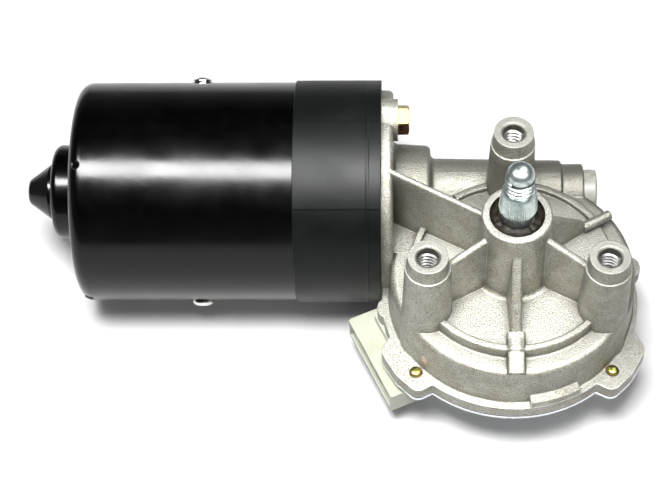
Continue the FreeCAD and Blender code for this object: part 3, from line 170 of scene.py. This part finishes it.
# tones first; then sizes; then ramps, each with its two ends and, if not 0 and 1, its two values
castLook = {
    "pale": (0.38, 0.375, 0.33), "warm": (0.29, 0.28, 0.225), "upLitTone": (0.47, 0.465, 0.42),
    "wornEdgeHighlight": (0.80, 0.795, 0.75), "creviceShadeTone": (0.045, 0.04, 0.03), "shade": (0.12, 0.117, 0.098),
    "pitAndFlankShade": (0.11, 0.105, 0.085), "turned": (0.25, 0.25, 0.225), "boreMouthShade": (0.018, 0.017, 0.014),
    "grease": (0.022, 0.015, 0.008), "paint": (0.80, 0.50, 0.45),
    "grain": 0.45, "grainDepth": 0.5, "mottle": 5.0, "mottleDepth": 0.5, "pitSize": 0.5,
    "hollow": 7, "edge": 0.6, "samples": 6,
    "mottleRamp": (0.35, 0.68), "pitRamp": (0.46, 0.66), "pitWeight": 0.8, "facingUp": (0.90, 0.99),
    "creviceShade": (0.82, 0.25, 0, 0.9), "creviceShadeHeight": (-46, -36, 0.1, 1),
    # shade on the right, and below the hub's top at the back and round the nose
    "belowTop": (-6, -12), "back": (8, 30, 0, 0.72), "right": (12, 44, 0, 0.55),
    "nose": (4, 18, 0, 0.8), "noseBack": (26, 32),
    "bend": (0.985, 0.88, 0, 0.6), "bendOpen": (0.55, 0.8),
    # the crossing rib's foot reads narrower with its flanks in shade
    "nubMiddle": (-0.2, 0, 0), "nubPlace": (0, -40.5, 0), "nubReach": (8.0, 7.6),
    "nubHeight": (-36.2, -35.9), "flankStart": (1.0, 2.0), "flankEnd": (3.6, 3.4, 0, 0.75),
    "bossCircle": 37, "bossTurns": (90, 210, 330), "face": (8.6, 8.428),
    "faceHeight": (-0.4, -0.2, 0, 0.6), "mouth": (4.7, 4.465, 0, 0.6), "mouthRagged": 1,
    "greaseReach": (10.2, 10.0), "greaseFloor": (-5.5, -5.0), "greaseTop": (-0.6, -1.4),
    "greaseRagged": 3,
    "paintSpot": (-33.2, -31.9, -48.0), "paintScale": (1, 1, 0.7), "paintReach": (1.7, 1.02, 0, 0.8),
    "paintRagged": 2,
    "rough": (0.3, 0.7, 0.34, 0.52), "roughCloud": 0.2, "greaseGloss": 0.22,
    "metallic": (0, 1, 0.6, 0.0),
    "grainBump": 0.55, "mottleBump": 0.35,
}


# Sand-grained die casting, with painted shade in its crevices and old grease in the hub's recess.
def castAlloy():
    look = castLook
    surface = Surface("castAlloy")
    grain = surface.noise(look["grain"], 3)
    blotch = surface.noise(look["mottle"], 4)
    pits = surface.ramp(surface.noise(look["pitSize"], 2), *look["pitRamp"])
    across, backward, height = (surface.along(axis) for axis in "XYZ")
    colour = surface.blend(surface.ramp(blotch, *look["mottleRamp"]), look["pale"], look["warm"])
    # painted light: faces turned up are paler, as if lit from overhead
    colour = surface.blend(surface.ramp(surface.upward(), *look["facingUp"]), colour, look["upLitTone"])
    # painted shade: hollows found by ambient occlusion darken, less so from the ledge down to the flange
    openness = surface.add("ShaderNodeAmbientOcclusion", {"samples": look["samples"]},
                           {"Distance": look["hollow"] * mm}, "AO")
    creviceShade = surface.ramp(openness, *look["creviceShade"]) * surface.reach(height, *look["creviceShadeHeight"])
    colour = surface.blend(creviceShade, colour, look["creviceShadeTone"])
    below = surface.reach(height, *look["belowTop"])
    colour = surface.blend(surface.reach(backward, *look["back"]) * below, colour, look["shade"])
    nose = surface.reach(across, *look["nose"]) * surface.reach(backward, *look["noseBack"]) * below
    darkest = surface.reach(across, *look["right"]).math("MAXIMUM", nose)
    colour = surface.blend(darkest, colour, look["shade"])
    colour = surface.blend(pits * look["pitWeight"], colour, look["pitAndFlankShade"])
    # painted highlight along convex edges, which also stands for rubbed wear
    rounded = surface.add("ShaderNodeBevel", {"samples": look["samples"]}, {"Radius": look["edge"] * mm})
    plain = surface.add("ShaderNodeNewGeometry", {}, {}, "Normal")
    bend = surface.add("ShaderNodeVectorMath", {"operation": "DOT_PRODUCT"},
                       {0: rounded, 1: plain}, "Value")
    edge = surface.ramp(bend, *look["bend"]) * surface.ramp(openness, *look["bendOpen"])
    colour = surface.blend(edge, colour, look["wornEdgeHighlight"])
    # painted shade on the flanks of the crossing rib's foot
    flank = surface.distance(look["nubMiddle"], acrossX)
    nub = surface.reach(surface.distance(look["nubPlace"], fromUpright), *look["nubReach"])
    nub = nub * surface.reach(flank, *look["flankStart"]) * surface.reach(flank, *look["flankEnd"])
    nub = nub * surface.reach(height, *look["nubHeight"])
    colour = surface.blend(nub, colour, look["pitAndFlankShade"])
    for turn in look["bossTurns"]:
        fromBoss = surface.distance(onCircle(look["bossCircle"], turn).translation, fromUpright)
        face = surface.reach(fromBoss, *look["face"]) * surface.reach(height, *look["faceHeight"])
        colour = surface.blend(face, colour, look["turned"])
        # painted shade: a dark ragged ring round each bore's mouth, standing for its recess
        mouth = surface.reach(fromBoss + surface.ragged(grain, look["mouthRagged"]), *look["mouth"])
        colour = surface.blend(mouth, colour, look["boreMouthShade"])
    fromAxis = surface.distance((0, 0, 0), fromUpright)
    greasy = surface.reach(fromAxis, *look["greaseReach"]) * surface.reach(height, *look["greaseFloor"])
    top = height + surface.ragged(blotch, look["greaseRagged"])
    greasy = greasy * surface.reach(top, *look["greaseTop"])
    colour = surface.blend(greasy, colour, look["grease"])
    fromDab = surface.distance(look["paintSpot"], look["paintScale"])
    dab = surface.reach(fromDab + surface.ragged(grain, look["paintRagged"]), *look["paintReach"])
    colour = surface.blend(dab, colour, look["paint"])
    rough = surface.ramp(grain, *look["rough"]) + (blotch - 0.5) * look["roughCloud"]
    rough = rough - greasy * look["greaseGloss"]
    relief = surface.bump(grain, look["grainBump"], look["grainDepth"], rounded)
    relief = surface.bump(blotch, look["mottleBump"], look["mottleDepth"], relief)
    return surface.finish({
        "Base Color": colour, "Metallic": surface.ramp(greasy + dab, *look["metallic"]),
        "Roughness": rough, "Normal": relief})


# black paint on the steel along the armature, and what its three kinds share
paintLooks = {
    "black_enamel": {"dark": (0.0004, 0.0004, 0.0004), "dust": (0.0012, 0.0014, 0.0013), "rough": 0.19,
                     "peel": 2.2, "peelDepth": 0.05, "gloss": 0.28},
    "black_cap": {"dark": (0.0008, 0.0008, 0.0008), "dust": (0.003, 0.003, 0.003), "rough": 0.15,
                  "peel": 3.0, "peelDepth": 0.03, "gloss": 0.36},
    "black_sleeve": {"dark": (0.0012, 0.0022, 0.0017), "dust": (0.003, 0.0045, 0.004), "rough": 0.41,
                     "peel": 0.5, "peelDepth": 0.20, "gloss": 0.20},
}
paintShared = {"cloud": 14, "speck": 0.45, "speckRamp": (0.72, 0.80), "speckCloud": (0.45, 0.75, 0.1, 1),
               "toneCloud": (0.3, 0.8, 0, 0.5), "speckTone": 0.5, "roughCloud": (0.3, 0.7, -0.03, 0.05),
               "speckRough": 0.25, "peelBump": 0.25}
sleeveMarks = {"seam": (-12.8, -12.4), "seamRough": 0.04, "ridgePlace": (-54.0, 0, 0),
               "ridge": (0.8, 0.2), "dimplePlace": (-62.7, 42.8, 0.2), "dimple": (3.0, 0),
               "dimpleShare": 0.5, "depth": 0.16}


def blackPaint(name):
    look = paintLooks[name] | paintShared
    surface = Surface(name + "_paint")
    peel = surface.noise(look["peel"], 2)
    cloud = surface.noise(look["cloud"], 3)
    dust = surface.ramp(surface.noise(look["speck"], 1), *look["speckRamp"])
    dust = dust * surface.ramp(cloud, *look["speckCloud"])
    tone = surface.ramp(cloud, *look["toneCloud"]) + dust * look["speckTone"]
    colour = surface.blend(tone, look["dark"], look["dust"])
    rough = look["rough"] + surface.ramp(cloud, *look["roughCloud"]) + dust * look["speckRough"]
    relief = surface.bump(peel, look["peelBump"], look["peelDepth"])
    if name == "black_sleeve":
        marks = sleeveMarks
        ridge = surface.reach(surface.distance(marks["ridgePlace"], acrossX), *marks["ridge"])
        seam = surface.reach(surface.along("Z"), *marks["seam"])
        dimple = surface.reach(surface.distance(marks["dimplePlace"]), *marks["dimple"])
        relief = surface.bump(ridge + seam - dimple * marks["dimpleShare"], 1.0, marks["depth"], relief)
        rough = rough + seam * marks["seamRough"]
    return surface.finish({
        "Base Color": colour, "Roughness": rough, "Specular IOR Level": look["gloss"], "Normal": relief})


# bare and plated metals: two tones that mottle, a fine grain, how far the gloss varies, and how
# much the mottle breaks up the pale tone painted on the upper side as light from above
metalLooks = {
    "yellow_zinc": {"pale": (0.26, 0.26, 0.07), "dark": (0.36, 0.21, 0.11), "mottle": 2.4, "grain": 0.5,
                    "depth": 0.03, "rough": (0.22, 0.40), "upLitBreakup": 1.0, "upLitRamp": (0.90, 0.66)},
    "rivet_steel": {"pale": (0.80, 0.80, 0.79), "dark": (0.62, 0.61, 0.58), "mottle": 1.5, "grain": 0.4,
                    "depth": 0.01, "rough": (0.08, 0.16)},
    "bright_steel": {"pale": (0.74, 0.76, 0.78), "dark": (0.56, 0.58, 0.60), "mottle": 6, "grain": 0.5,
                     "depth": 0.02, "rough": (0.20, 0.34)},
    "shaft_steel": {"pale": (0.60, 0.67, 0.67), "dark": (0.40, 0.46, 0.45), "mottle": 1.6, "grain": 0.35,
                    "depth": 0.012, "rough": (0.26, 0.40), "groove": (0.03, 0.034, 0.034)},
    "bore_steel": {"pale": (0.54, 0.54, 0.52), "dark": (0.28, 0.28, 0.27), "mottle": 1.2, "grain": 0.35,
                   "depth": 0.01, "rough": (0.30, 0.42)},
    "ground_steel": {"pale": (0.66, 0.66, 0.66), "dark": (0.52, 0.52, 0.53), "mottle": 5, "grain": 0.3,
                     "depth": 0.01, "rough": (0.14, 0.24)},
    "bush_bronze": {"pale": (0.66, 0.45, 0.22), "dark": (0.45, 0.27, 0.12), "mottle": 2, "grain": 0.3,
                    "depth": 0.04, "rough": (0.36, 0.52)},
    "contact_brass": {"pale": (0.80, 0.62, 0.28), "dark": (0.62, 0.44, 0.18), "mottle": 3, "grain": 0.3,
                      "depth": 0.01, "rough": (0.24, 0.38)},
    "copper": {"pale": (0.80, 0.42, 0.26), "dark": (0.48, 0.20, 0.11), "mottle": 3, "grain": 0.5,
               "depth": 0.03, "rough": (0.26, 0.42)},
    "core_iron": {"pale": (0.30, 0.30, 0.31), "dark": (0.16, 0.16, 0.17), "mottle": 4, "grain": 0.5,
                  "depth": 0.04, "rough": (0.40, 0.58)},
}
metalShared = {"mottleRamp": (0.35, 0.68), "glossRamp": (0.35, 0.65), "grainBump": 0.4}
# painted shade: the stud's thread darkens from its crest to its root, between two heights
studGroove = {"depth": (5.1, 4.75, 0, 0.9), "start": (14.7, 14.9), "end": (22.7, 22.5)}


def metal(name):
    look = metalLooks[name] | metalShared
    surface = Surface(name + "_metal")
    mottle = surface.noise(look["mottle"], 4)
    grain = surface.noise(look["grain"], 2)
    toDark = surface.ramp(mottle, *look["mottleRamp"])
    # painted light: on yellow zinc the upper side takes the pale tone and the lower side the dark one
    if "upLitBreakup" in look:
        toDark = surface.ramp(surface.upward() + (mottle - 0.5) * look["upLitBreakup"], *look["upLitRamp"])
    colour = surface.blend(toDark, look["pale"], look["dark"])
    if "groove" in look:
        height = surface.along("Z")
        threaded = surface.reach(height, *studGroove["start"])
        threaded = threaded * surface.reach(height, *studGroove["end"])
        groove = surface.reach(surface.distance((0, 0, 0), fromUpright), *studGroove["depth"]) * threaded
        colour = surface.blend(groove, colour, look["groove"])
    rough = surface.ramp(grain * 0.5 + mottle * 0.5, *look["glossRamp"], *look["rough"])
    return surface.finish({
        "Base Color": colour, "Metallic": 1.0, "Roughness": rough,
        "Normal": surface.bump(grain, look["grainBump"], look["depth"])})


# moulded and pressed materials: two tones, the cloud that blends them, and a fine grain
mouldedLooks = {
    "plug_zinc": {"pale": (0.29, 0.285, 0.255), "dark": (0.18, 0.175, 0.15), "cloud": 2,
                  "edge": (0.4, 0.7), "grain": 0.5, "depth": 0.06, "rough": 0.45, "glow": 0.0},
    "connector_nylon": {"pale": (0.45, 0.47, 0.385), "dark": (0.39, 0.35, 0.23), "cloud": 9,
                        "edge": (0.55, 0.80), "grain": 0.8, "depth": 0.05, "rough": 0.36, "glow": 0.18},
    "gear_nylon": {"pale": (0.78, 0.76, 0.66), "dark": (0.66, 0.63, 0.52), "cloud": 8,
                   "edge": (0.4, 0.7), "grain": 0.6, "depth": 0.04, "rough": 0.42, "glow": 0.12},
    "dark_board": {"pale": (0.16, 0.075, 0.035), "dark": (0.09, 0.042, 0.022), "cloud": 5,
                   "edge": (0.4, 0.7), "grain": 0.3, "depth": 0.05, "rough": 0.55, "glow": 0.0},
    "gasket_rubber": {"pale": (0.020, 0.020, 0.020), "dark": (0.009, 0.009, 0.009), "cloud": 3,
                      "edge": (0.4, 0.7), "grain": 0.3, "depth": 0.06, "rough": 0.62, "glow": 0.0},
    "felt": {"pale": (0.42, 0.37, 0.28), "dark": (0.22, 0.17, 0.10), "cloud": 2, "edge": (0.3, 0.7),
             "grain": 0.25, "depth": 0.20, "rough": 0.92, "glow": 0.0},
    "ferrite": {"pale": (0.060, 0.060, 0.063), "dark": (0.032, 0.032, 0.034), "cloud": 6,
                "edge": (0.4, 0.7), "grain": 0.4, "depth": 0.05, "rough": 0.48, "glow": 0.0},
    "carbon": {"pale": (0.040, 0.038, 0.036), "dark": (0.018, 0.017, 0.016), "cloud": 2,
               "edge": (0.4, 0.7), "grain": 0.3, "depth": 0.04, "rough": 0.50, "glow": 0.0},
}
mouldedShared = {"darkShare": 0.8, "roughGrain": (0.3, 0.7, -0.06, 0.06), "glowReach": (4, 4, 3),
                 "grainBump": 0.4}


def moulded(name):
    look = mouldedLooks[name] | mouldedShared
    surface = Surface(name + "_moulded")
    cloud = surface.noise(look["cloud"], 3)
    grain = surface.noise(look["grain"], 3)
    toDark = surface.ramp(cloud, *look["edge"], 0, look["darkShare"])
    return surface.finish({
        "Base Color": surface.blend(toDark, look["pale"], look["dark"]),
        "Roughness": look["rough"] + surface.ramp(grain, *look["roughGrain"]),
        "Subsurface Weight": look["glow"], "Subsurface Scale": 1.0,
        "Subsurface Radius": [size * mm for size in look["glowReach"]],
        "Normal": surface.bump(grain, look["grainBump"], look["depth"])})


greaseLook = {"dark": (0.003, 0.0022, 0.001), "pale": (0.020, 0.013, 0.006), "cloud": 1.6,
              "toPale": (0.35, 0.7), "rough": (0.3, 0.7, 0.40, 0.65), "gloss": 0.22,
              "bump": 0.8, "depth": 0.6}


# Thick dark grease.
def greaseFinish():
    look = greaseLook
    surface = Surface("oldGrease")
    cloud = surface.noise(look["cloud"], 4)
    return surface.finish({
        "Base Color": surface.blend(surface.ramp(cloud, *look["toPale"]), look["dark"], look["pale"]),
        "Roughness": surface.ramp(cloud, *look["rough"]), "Specular IOR Level": look["gloss"],
        "Normal": surface.bump(cloud, look["bump"], look["depth"])})


finishes = {"cast_alloy": castAlloy()}
finishes.update((name, blackPaint(name)) for name in paintLooks)
finishes.update((name, metal(name)) for name in metalLooks)
finishes.update((name, moulded(name)) for name in mouldedLooks)
# nodes whose finish isn't the one that their slot names
ownFinish = {"thrust_plug": "plug_zinc"}
for name, node in nodes.items():
    for slot in node.material_slots:
        slot.material = finishes[ownFinish.get(name, slot.material.name.split(".")[0])]
print("finishes made:", len(finishes))


# Makes a piece from a bmesh in millimetres.
def makePiece(name, shape, body, replaced, finish, sharp=32):
    bmesh.ops.remove_doubles(shape, verts=shape.verts, dist=0.0005)
    bmesh.ops.recalc_face_normals(shape, faces=shape.faces)
    bmesh.ops.scale(shape, vec=(mm, mm, mm), verts=shape.verts)
    mesh = bpy.data.meshes.new(name)
    shape.to_mesh(mesh)
    shape.free()
    mesh.shade_smooth()
    mesh.set_sharp_from_angle(angle=math.radians(sharp))
    piece = bpy.data.objects.new(name, mesh)
    bpy.context.scene.collection.objects.link(piece)
    mesh.materials.append(finish)
    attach(piece, body)
    if replaced:
        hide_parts(*replaced)
    return piece


# Turns a profile of (radius, height) corners about Z.
def turnProfile(shape, profile, steps=72):
    line = [shape.verts.new((radius, 0, height)) for radius, height in profile]
    edges = [shape.edges.new(pair) for pair in zip(line, line[1:])]
    bmesh.ops.spin(shape, geom=line + edges, cent=(0, 0, 0), axis=(0, 0, 1), angle=2 * math.pi,
                   steps=steps, use_merge=True)


# Winds a tooth of (radius, height) corners, in pitches, into a thread from its low to its high end.
def windThread(shape, look, steps=36):
    pitch = look["pitch"]
    low, high = look["threadEnds"]
    corners = [shape.verts.new((radius, 0, low + height * pitch)) for radius, height in look["tooth"]]
    face = shape.faces.new(corners)
    turns = (high - low) / pitch
    bmesh.ops.spin(shape, geom=[*face.verts, *face.edges, face], cent=(0, 0, 0), axis=(0, 0, 1),
                   dvec=(0, 0, pitch / steps), angle=2 * math.pi * turns, steps=round(steps * turns))


# A new shape with copies of a part, one for each move; it frees the part.
def copies(part, moves):
    shape = bmesh.new()
    for move in moves:
        copy = bpy.data.meshes.new("copy")
        part.to_mesh(copy)
        copy.transform(move)
        shape.from_mesh(copy)
        bpy.data.meshes.remove(copy)
    part.free()
    return shape


# Extrudes a face in place and gives the new one.
def extruded(shape, face):
    made = bmesh.ops.extrude_face_region(shape, geom=[face])["geom"]
    return [item for item in made if isinstance(item, bmesh.types.BMFace)][0]


outputShaft = {
    "seat": [(0, -51), (8, -51), (8, -38.5), (6, -38.5), (6, -3.05), (5.3, -3.05), (5.3, -1.85),
             (6, -1.85), (6, 3.9), (6.5, 4.6), (6.5, 5.2), (0, 5.2)],
    "flutes": 48, "coneLow": (6.9, 4.6), "coneHigh": (6.33, 14.2), "fluteDepth": 0.40,
    "coneChamfer": 0.45, "chamferShare": 0.90,
    "stud": [(0, 13), (4.6, 13), (4.6, 22.3), (5.0, 22.8), (5.0, 23.5), (4.85, 24.4), (4.5, 25.3),
             (3.95, 26.1), (3.2, 26.75), (2.2, 27.2), (1.1, 27.45), (0, 27.5)],
    "pitch": 1.95, "tooth": [(4.55, -0.42), (5.35, -0.14), (5.35, 0.14), (4.55, 0.42)],
    "threadEnds": (14.9, 22.0),
}


# Output shaft: seat, knurled cone and threaded stud.
def buildOutputShaft():
    look = outputShaft
    shape = bmesh.new()
    radius, low = look["coneLow"]
    topRadius, high = look["coneHigh"]
    segments = 2 * look["flutes"]
    ring = bmesh.ops.create_circle(shape, cap_ends=True, segments=segments, radius=radius)["verts"]
    cone = ring[0].link_faces[0]
    bmesh.ops.scale(shape, vec=[1 - look["fluteDepth"] / radius] * 2 + [1], verts=ring[::2])
    bmesh.ops.translate(shape, vec=(0, 0, low), verts=ring)
    chamfer = look["coneChamfer"]
    for height, size in ((high - chamfer - low, topRadius / radius), (chamfer, look["chamferShare"])):
        cone = extruded(shape, cone)
        bmesh.ops.translate(shape, vec=(0, 0, height), verts=cone.verts)
        bmesh.ops.scale(shape, vec=(size, size, 1), verts=cone.verts)
    turnProfile(shape, look["seat"])
    turnProfile(shape, look["stud"])
    windThread(shape, look, 48)
    return makePiece("output_shaft_detail", shape, "output", ["output_shaft"],
                     finishes["shaft_steel"], 30)


bossThread = {"tooth": [(4.02, -0.44), (3.3, -0.12), (3.3, 0.12), (4.02, 0.44)], "pitch": 1.8,
              "threadEnds": (-17.5, -3.0), "circle": 37, "turns": (90, 210, 330)}


# Threads in the three mounting bosses, below a smooth mouth.
def buildBossThreads():
    look = bossThread
    thread = bmesh.new()
    windThread(thread, look)
    shape = copies(thread, [onCircle(look["circle"], turn) for turn in look["turns"]])
    return makePiece("boss_threads", shape, "housing", [], finishes["bore_steel"], 30)


hexSides = {"cuts": 7, "chamferSlope": 30}


# Makes a hexagon head that stands on z = 0 and has a chamfered top.
def hexHead(shape, corner, height, chamfer):
    base = bmesh.ops.create_circle(shape, cap_ends=True, segments=6, radius=corner)["verts"]
    top = base[0].link_faces[0]
    bmesh.ops.subdivide_edges(shape, edges=top.edges, cuts=hexSides["cuts"])
    slope = math.tan(math.radians(hexSides["chamferSlope"]))
    for rise in (height, 0.0):
        top = extruded(shape, top)
        bmesh.ops.translate(shape, vec=(0, 0, rise), verts=top.verts)
        for vert in top.verts:
            reach = vert.co.xy.length
            if rise:
                vert.co.z -= max(0.0, reach - chamfer) * slope
            else:
                vert.co = (*(vert.co.xy * min(1.0, chamfer / reach)), height)


longBolt = {"corner": 5.77, "height": 4.3, "chamfer": 4.8, "seat": (-42.7, 41.625, -43),
            "shank": [(0, -22.3), (2.5, -22.3), (3.0, -21.8), (3.0, 0.2), (0, 0.2)],
            "circle": 34.5, "turns": (15, 195), "headTurn": -23}


# The two hexagon bolts that hold the can on the gear housing.
def buildLongBolts():
    look = longBolt
    bolt = bmesh.new()
    hexHead(bolt, look["corner"], look["height"], look["chamfer"])
    turnProfile(bolt, look["shank"], 32)
    seat = Matrix.Translation(look["seat"])
    out = Matrix.Translation((0, 0, look["circle"])) @ turned(90, "Y") @ turned(look["headTurn"], "Z")
    shape = copies(bolt, [seat @ turned(-turn, "X") @ out for turn in look["turns"]])
    return makePiece("long_bolts_detail", shape, "housing", ["long_bolts"],
                     finishes["yellow_zinc"])


canVent = {"profile": [(0, 0.04), (1.15, 0.04), (1.4, 0.24), (1.6, 0.24), (1.8, 0.02), (1.8, -0.5),
                       (0, -0.5)],
           "corner": (-160.3, 41.625, -43), "cornerMiddle": 37.4, "cornerRound": 5, "upLitBreakup": -20,
           "turns": (-22.5, 67.5, 157.5, 247.5)}


# The four small rimmed vents on the can's rear corner.
def buildCanVents():
    look = canVent
    vent = bmesh.new()
    turnProfile(vent, look["profile"], 28)
    corner = Matrix.Translation(look["corner"])
    out = Matrix.Translation((0, 0, look["cornerMiddle"])) @ turned(look["upLitBreakup"], "Y")
    out = out @ Matrix.Translation((0, 0, look["cornerRound"]))
    shape = copies(vent, [corner @ turned(-turn, "X") @ out for turn in look["turns"]])
    return makePiece("can_vents", shape, "housing", [], finishes["black_cap"])


coverScrew = {
    "angles": (-137.4, -41.4, 62.0, 118.0), "circle": 49, "low": -64.4,
    "shank": [(0, 2.4), (4.4, 2.4), (4.4, 3.0), (2.1, 3.0), (2.1, 10.6), (1.75, 11.2), (1.1, 11.5),
              (0, 11.5)],
    "corner": 4.0, "headHeight": 2.6, "chamfer": 3.45,
    "tooth": [(2.05, -0.44), (2.4, -0.06), (2.4, 0.06), (2.05, 0.44)], "pitch": 0.8,
    "threadEnds": (4.0, 10.4),
}


# Four screws from below; their threaded tips stand above the lugs.
def buildCoverScrews():
    look = coverScrew
    screw = bmesh.new()
    hexHead(screw, look["corner"], look["headHeight"], look["chamfer"])
    bmesh.ops.rotate(screw, cent=(0, 0, look["headHeight"] / 2), matrix=Matrix.Rotation(math.pi, 3, "X"),
                     verts=screw.verts)
    turnProfile(screw, look["shank"], 28)
    windThread(screw, look, 24)
    shape = copies(screw, [onCircle(look["circle"], angle, look["low"]) for angle in look["angles"]])
    return makePiece("cover_screws_detail", shape, "housing", ["cover_screws"],
                     finishes["yellow_zinc"])


grease = {"profile": [(6.15, -2.9), (6.3, -0.6), (7.0, -1.1), (8.2, -1.5), (9.2, -1.2), (9.9, 0.0),
                      (9.95, -2.9), (6.15, -2.9)],
          "above": -2, "lump": 0.45, "size": 1.3}


# Lumpy grease in the hub's recess, round the shaft.
def buildGrease():
    look = grease
    shape = bmesh.new()
    turnProfile(shape, look["profile"], 96)
    bmesh.ops.remove_doubles(shape, verts=shape.verts, dist=0.001)
    for vert in shape.verts:
        if vert.co.z > look["above"]:
            vert.co.z += look["lump"] * noise.noise(vert.co / look["size"])
    return makePiece("hub_grease", shape, "housing", [], greaseFinish(), 60)


buildOutputShaft()
buildBossThreads()
buildLongBolts()
buildCanVents()
buildCoverScrews()
buildGrease()
print("pieces made")


# sizes and places in metres, but the floor's cloud in millimetres
stage = {
    "floorSize": 6.0, "floorGap": 0.0002, "floorCloud": 300, "floorRough": 0.7,
    "floorTones": ((0.58, 0.58, 0.58), (0.62, 0.62, 0.62)),
    "horizon": (0.18, 0.185, 0.19), "ceiling": (0.005, 0.005, 0.005), "rise": (0.10, 0.55),
    # size, place, power, and whether matt surfaces and reflections get it
    "lamps": {
        "softBox": ((0.45, 0.35), (-0.16, -0.26, 1.12), 30, True, False),
        "glossStrip": ((1.5, 0.30), (-0.08, -0.29, 1.10), 70, False, True),
        "glossHead": ((0.4, 0.4), (0.34, 0.50, 1.02), 4, False, True),
        "fill": ((1.6, 0.8), (0.2, -1.2, 0.55), 8, True, False),
        "backFill": ((1.6, 0.8), (-0.1, 1.5, 0.5), 5, True, False),
    },
}


# Pale floor under the lowest piece; it throws no light back on the motor's matt surfaces.
def buildFloor():
    look = stage
    shape = bmesh.new()
    bmesh.ops.create_grid(shape, x_segments=1, y_segments=1, size=look["floorSize"] / 2)
    bmesh.ops.translate(shape, vec=(0, 0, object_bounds()[0].z - look["floorGap"]), verts=shape.verts)
    mesh = bpy.data.meshes.new("floor")
    shape.to_mesh(mesh)
    shape.free()
    floor = bpy.data.objects.new("floor", mesh)
    bpy.context.scene.collection.objects.link(floor)
    surface = Surface("paleFloor")
    cloud = surface.noise(look["floorCloud"], 2)
    mesh.materials.append(surface.finish({
        "Base Color": surface.blend(cloud, *look["floorTones"]), "Roughness": look["floorRough"]}))
    floor.visible_diffuse = False


# An overhead soft box, a strip for the can's highlight, and weak fills.
def buildLamps():
    for name, (size, place, power, matt, mirrored) in stage["lamps"].items():
        light = bpy.data.lights.new(name, "AREA")
        light.shape = "RECTANGLE"
        light.size, light.size_y = size
        light.energy = power
        lamp = bpy.data.objects.new(name, light)
        bpy.context.scene.collection.objects.link(lamp)
        lamp.location = place
        lamp.rotation_euler = (-Vector(place)).to_track_quat("-Z", "Y").to_euler()
        lamp.visible_diffuse = matt
        lamp.visible_glossy = mirrored


# A studio that is pale at the horizon and dark above.
def buildWorld():
    look = stage
    world = bpy.data.worlds.new("studio")
    bpy.context.scene.world = world
    world.use_nodes = True
    tree = world.node_tree
    tree.nodes.clear()
    way = add(tree, "ShaderNodeTexCoord", {}, {}, "Generated")
    level = add(tree, "ShaderNodeSeparateXYZ", {}, {0: way}, "Z")
    low, high = look["rise"]
    above = add(tree, "ShaderNodeMapRange", {}, {"Value": level, "From Min": low, "From Max": high})
    tone = add(tree, "ShaderNodeMix", {"data_type": "RGBA"},
               {0: above, 6: look["horizon"], 7: look["ceiling"]}, 2)
    sky = add(tree, "ShaderNodeBackground", {}, {"Color": tone, "Strength": 1.0})
    add(tree, "ShaderNodeOutputWorld", {}, {"Surface": sky})


camera = {"lens": 104.15, "place": (-41.816, -402.471, 562.607), "right": (0.99940, 0.01946, -0.02861),
          "up": (0.000173, 0.82397, 0.56663), "back": (0.03460, -0.56630, 0.82347), "clip": (0.02, 20)}


# The photo's viewing angle.
def buildCamera():
    look = camera
    eye = bpy.data.objects.new("camera", bpy.data.cameras.new("camera"))
    bpy.context.scene.collection.objects.link(eye)
    eye.data.lens = look["lens"]
    eye.data.clip_start, eye.data.clip_end = look["clip"]
    turn = Matrix((look["right"], look["up"], look["back"])).transposed().to_4x4()
    eye.matrix_world = Matrix.Translation(Vector(look["place"]) * mm) @ turn
    bpy.context.scene.camera = eye
    bpy.context.scene.view_settings.view_transform = "Standard"


buildFloor()
buildLamps()
buildWorld()
buildCamera()
print("stage and camera made")
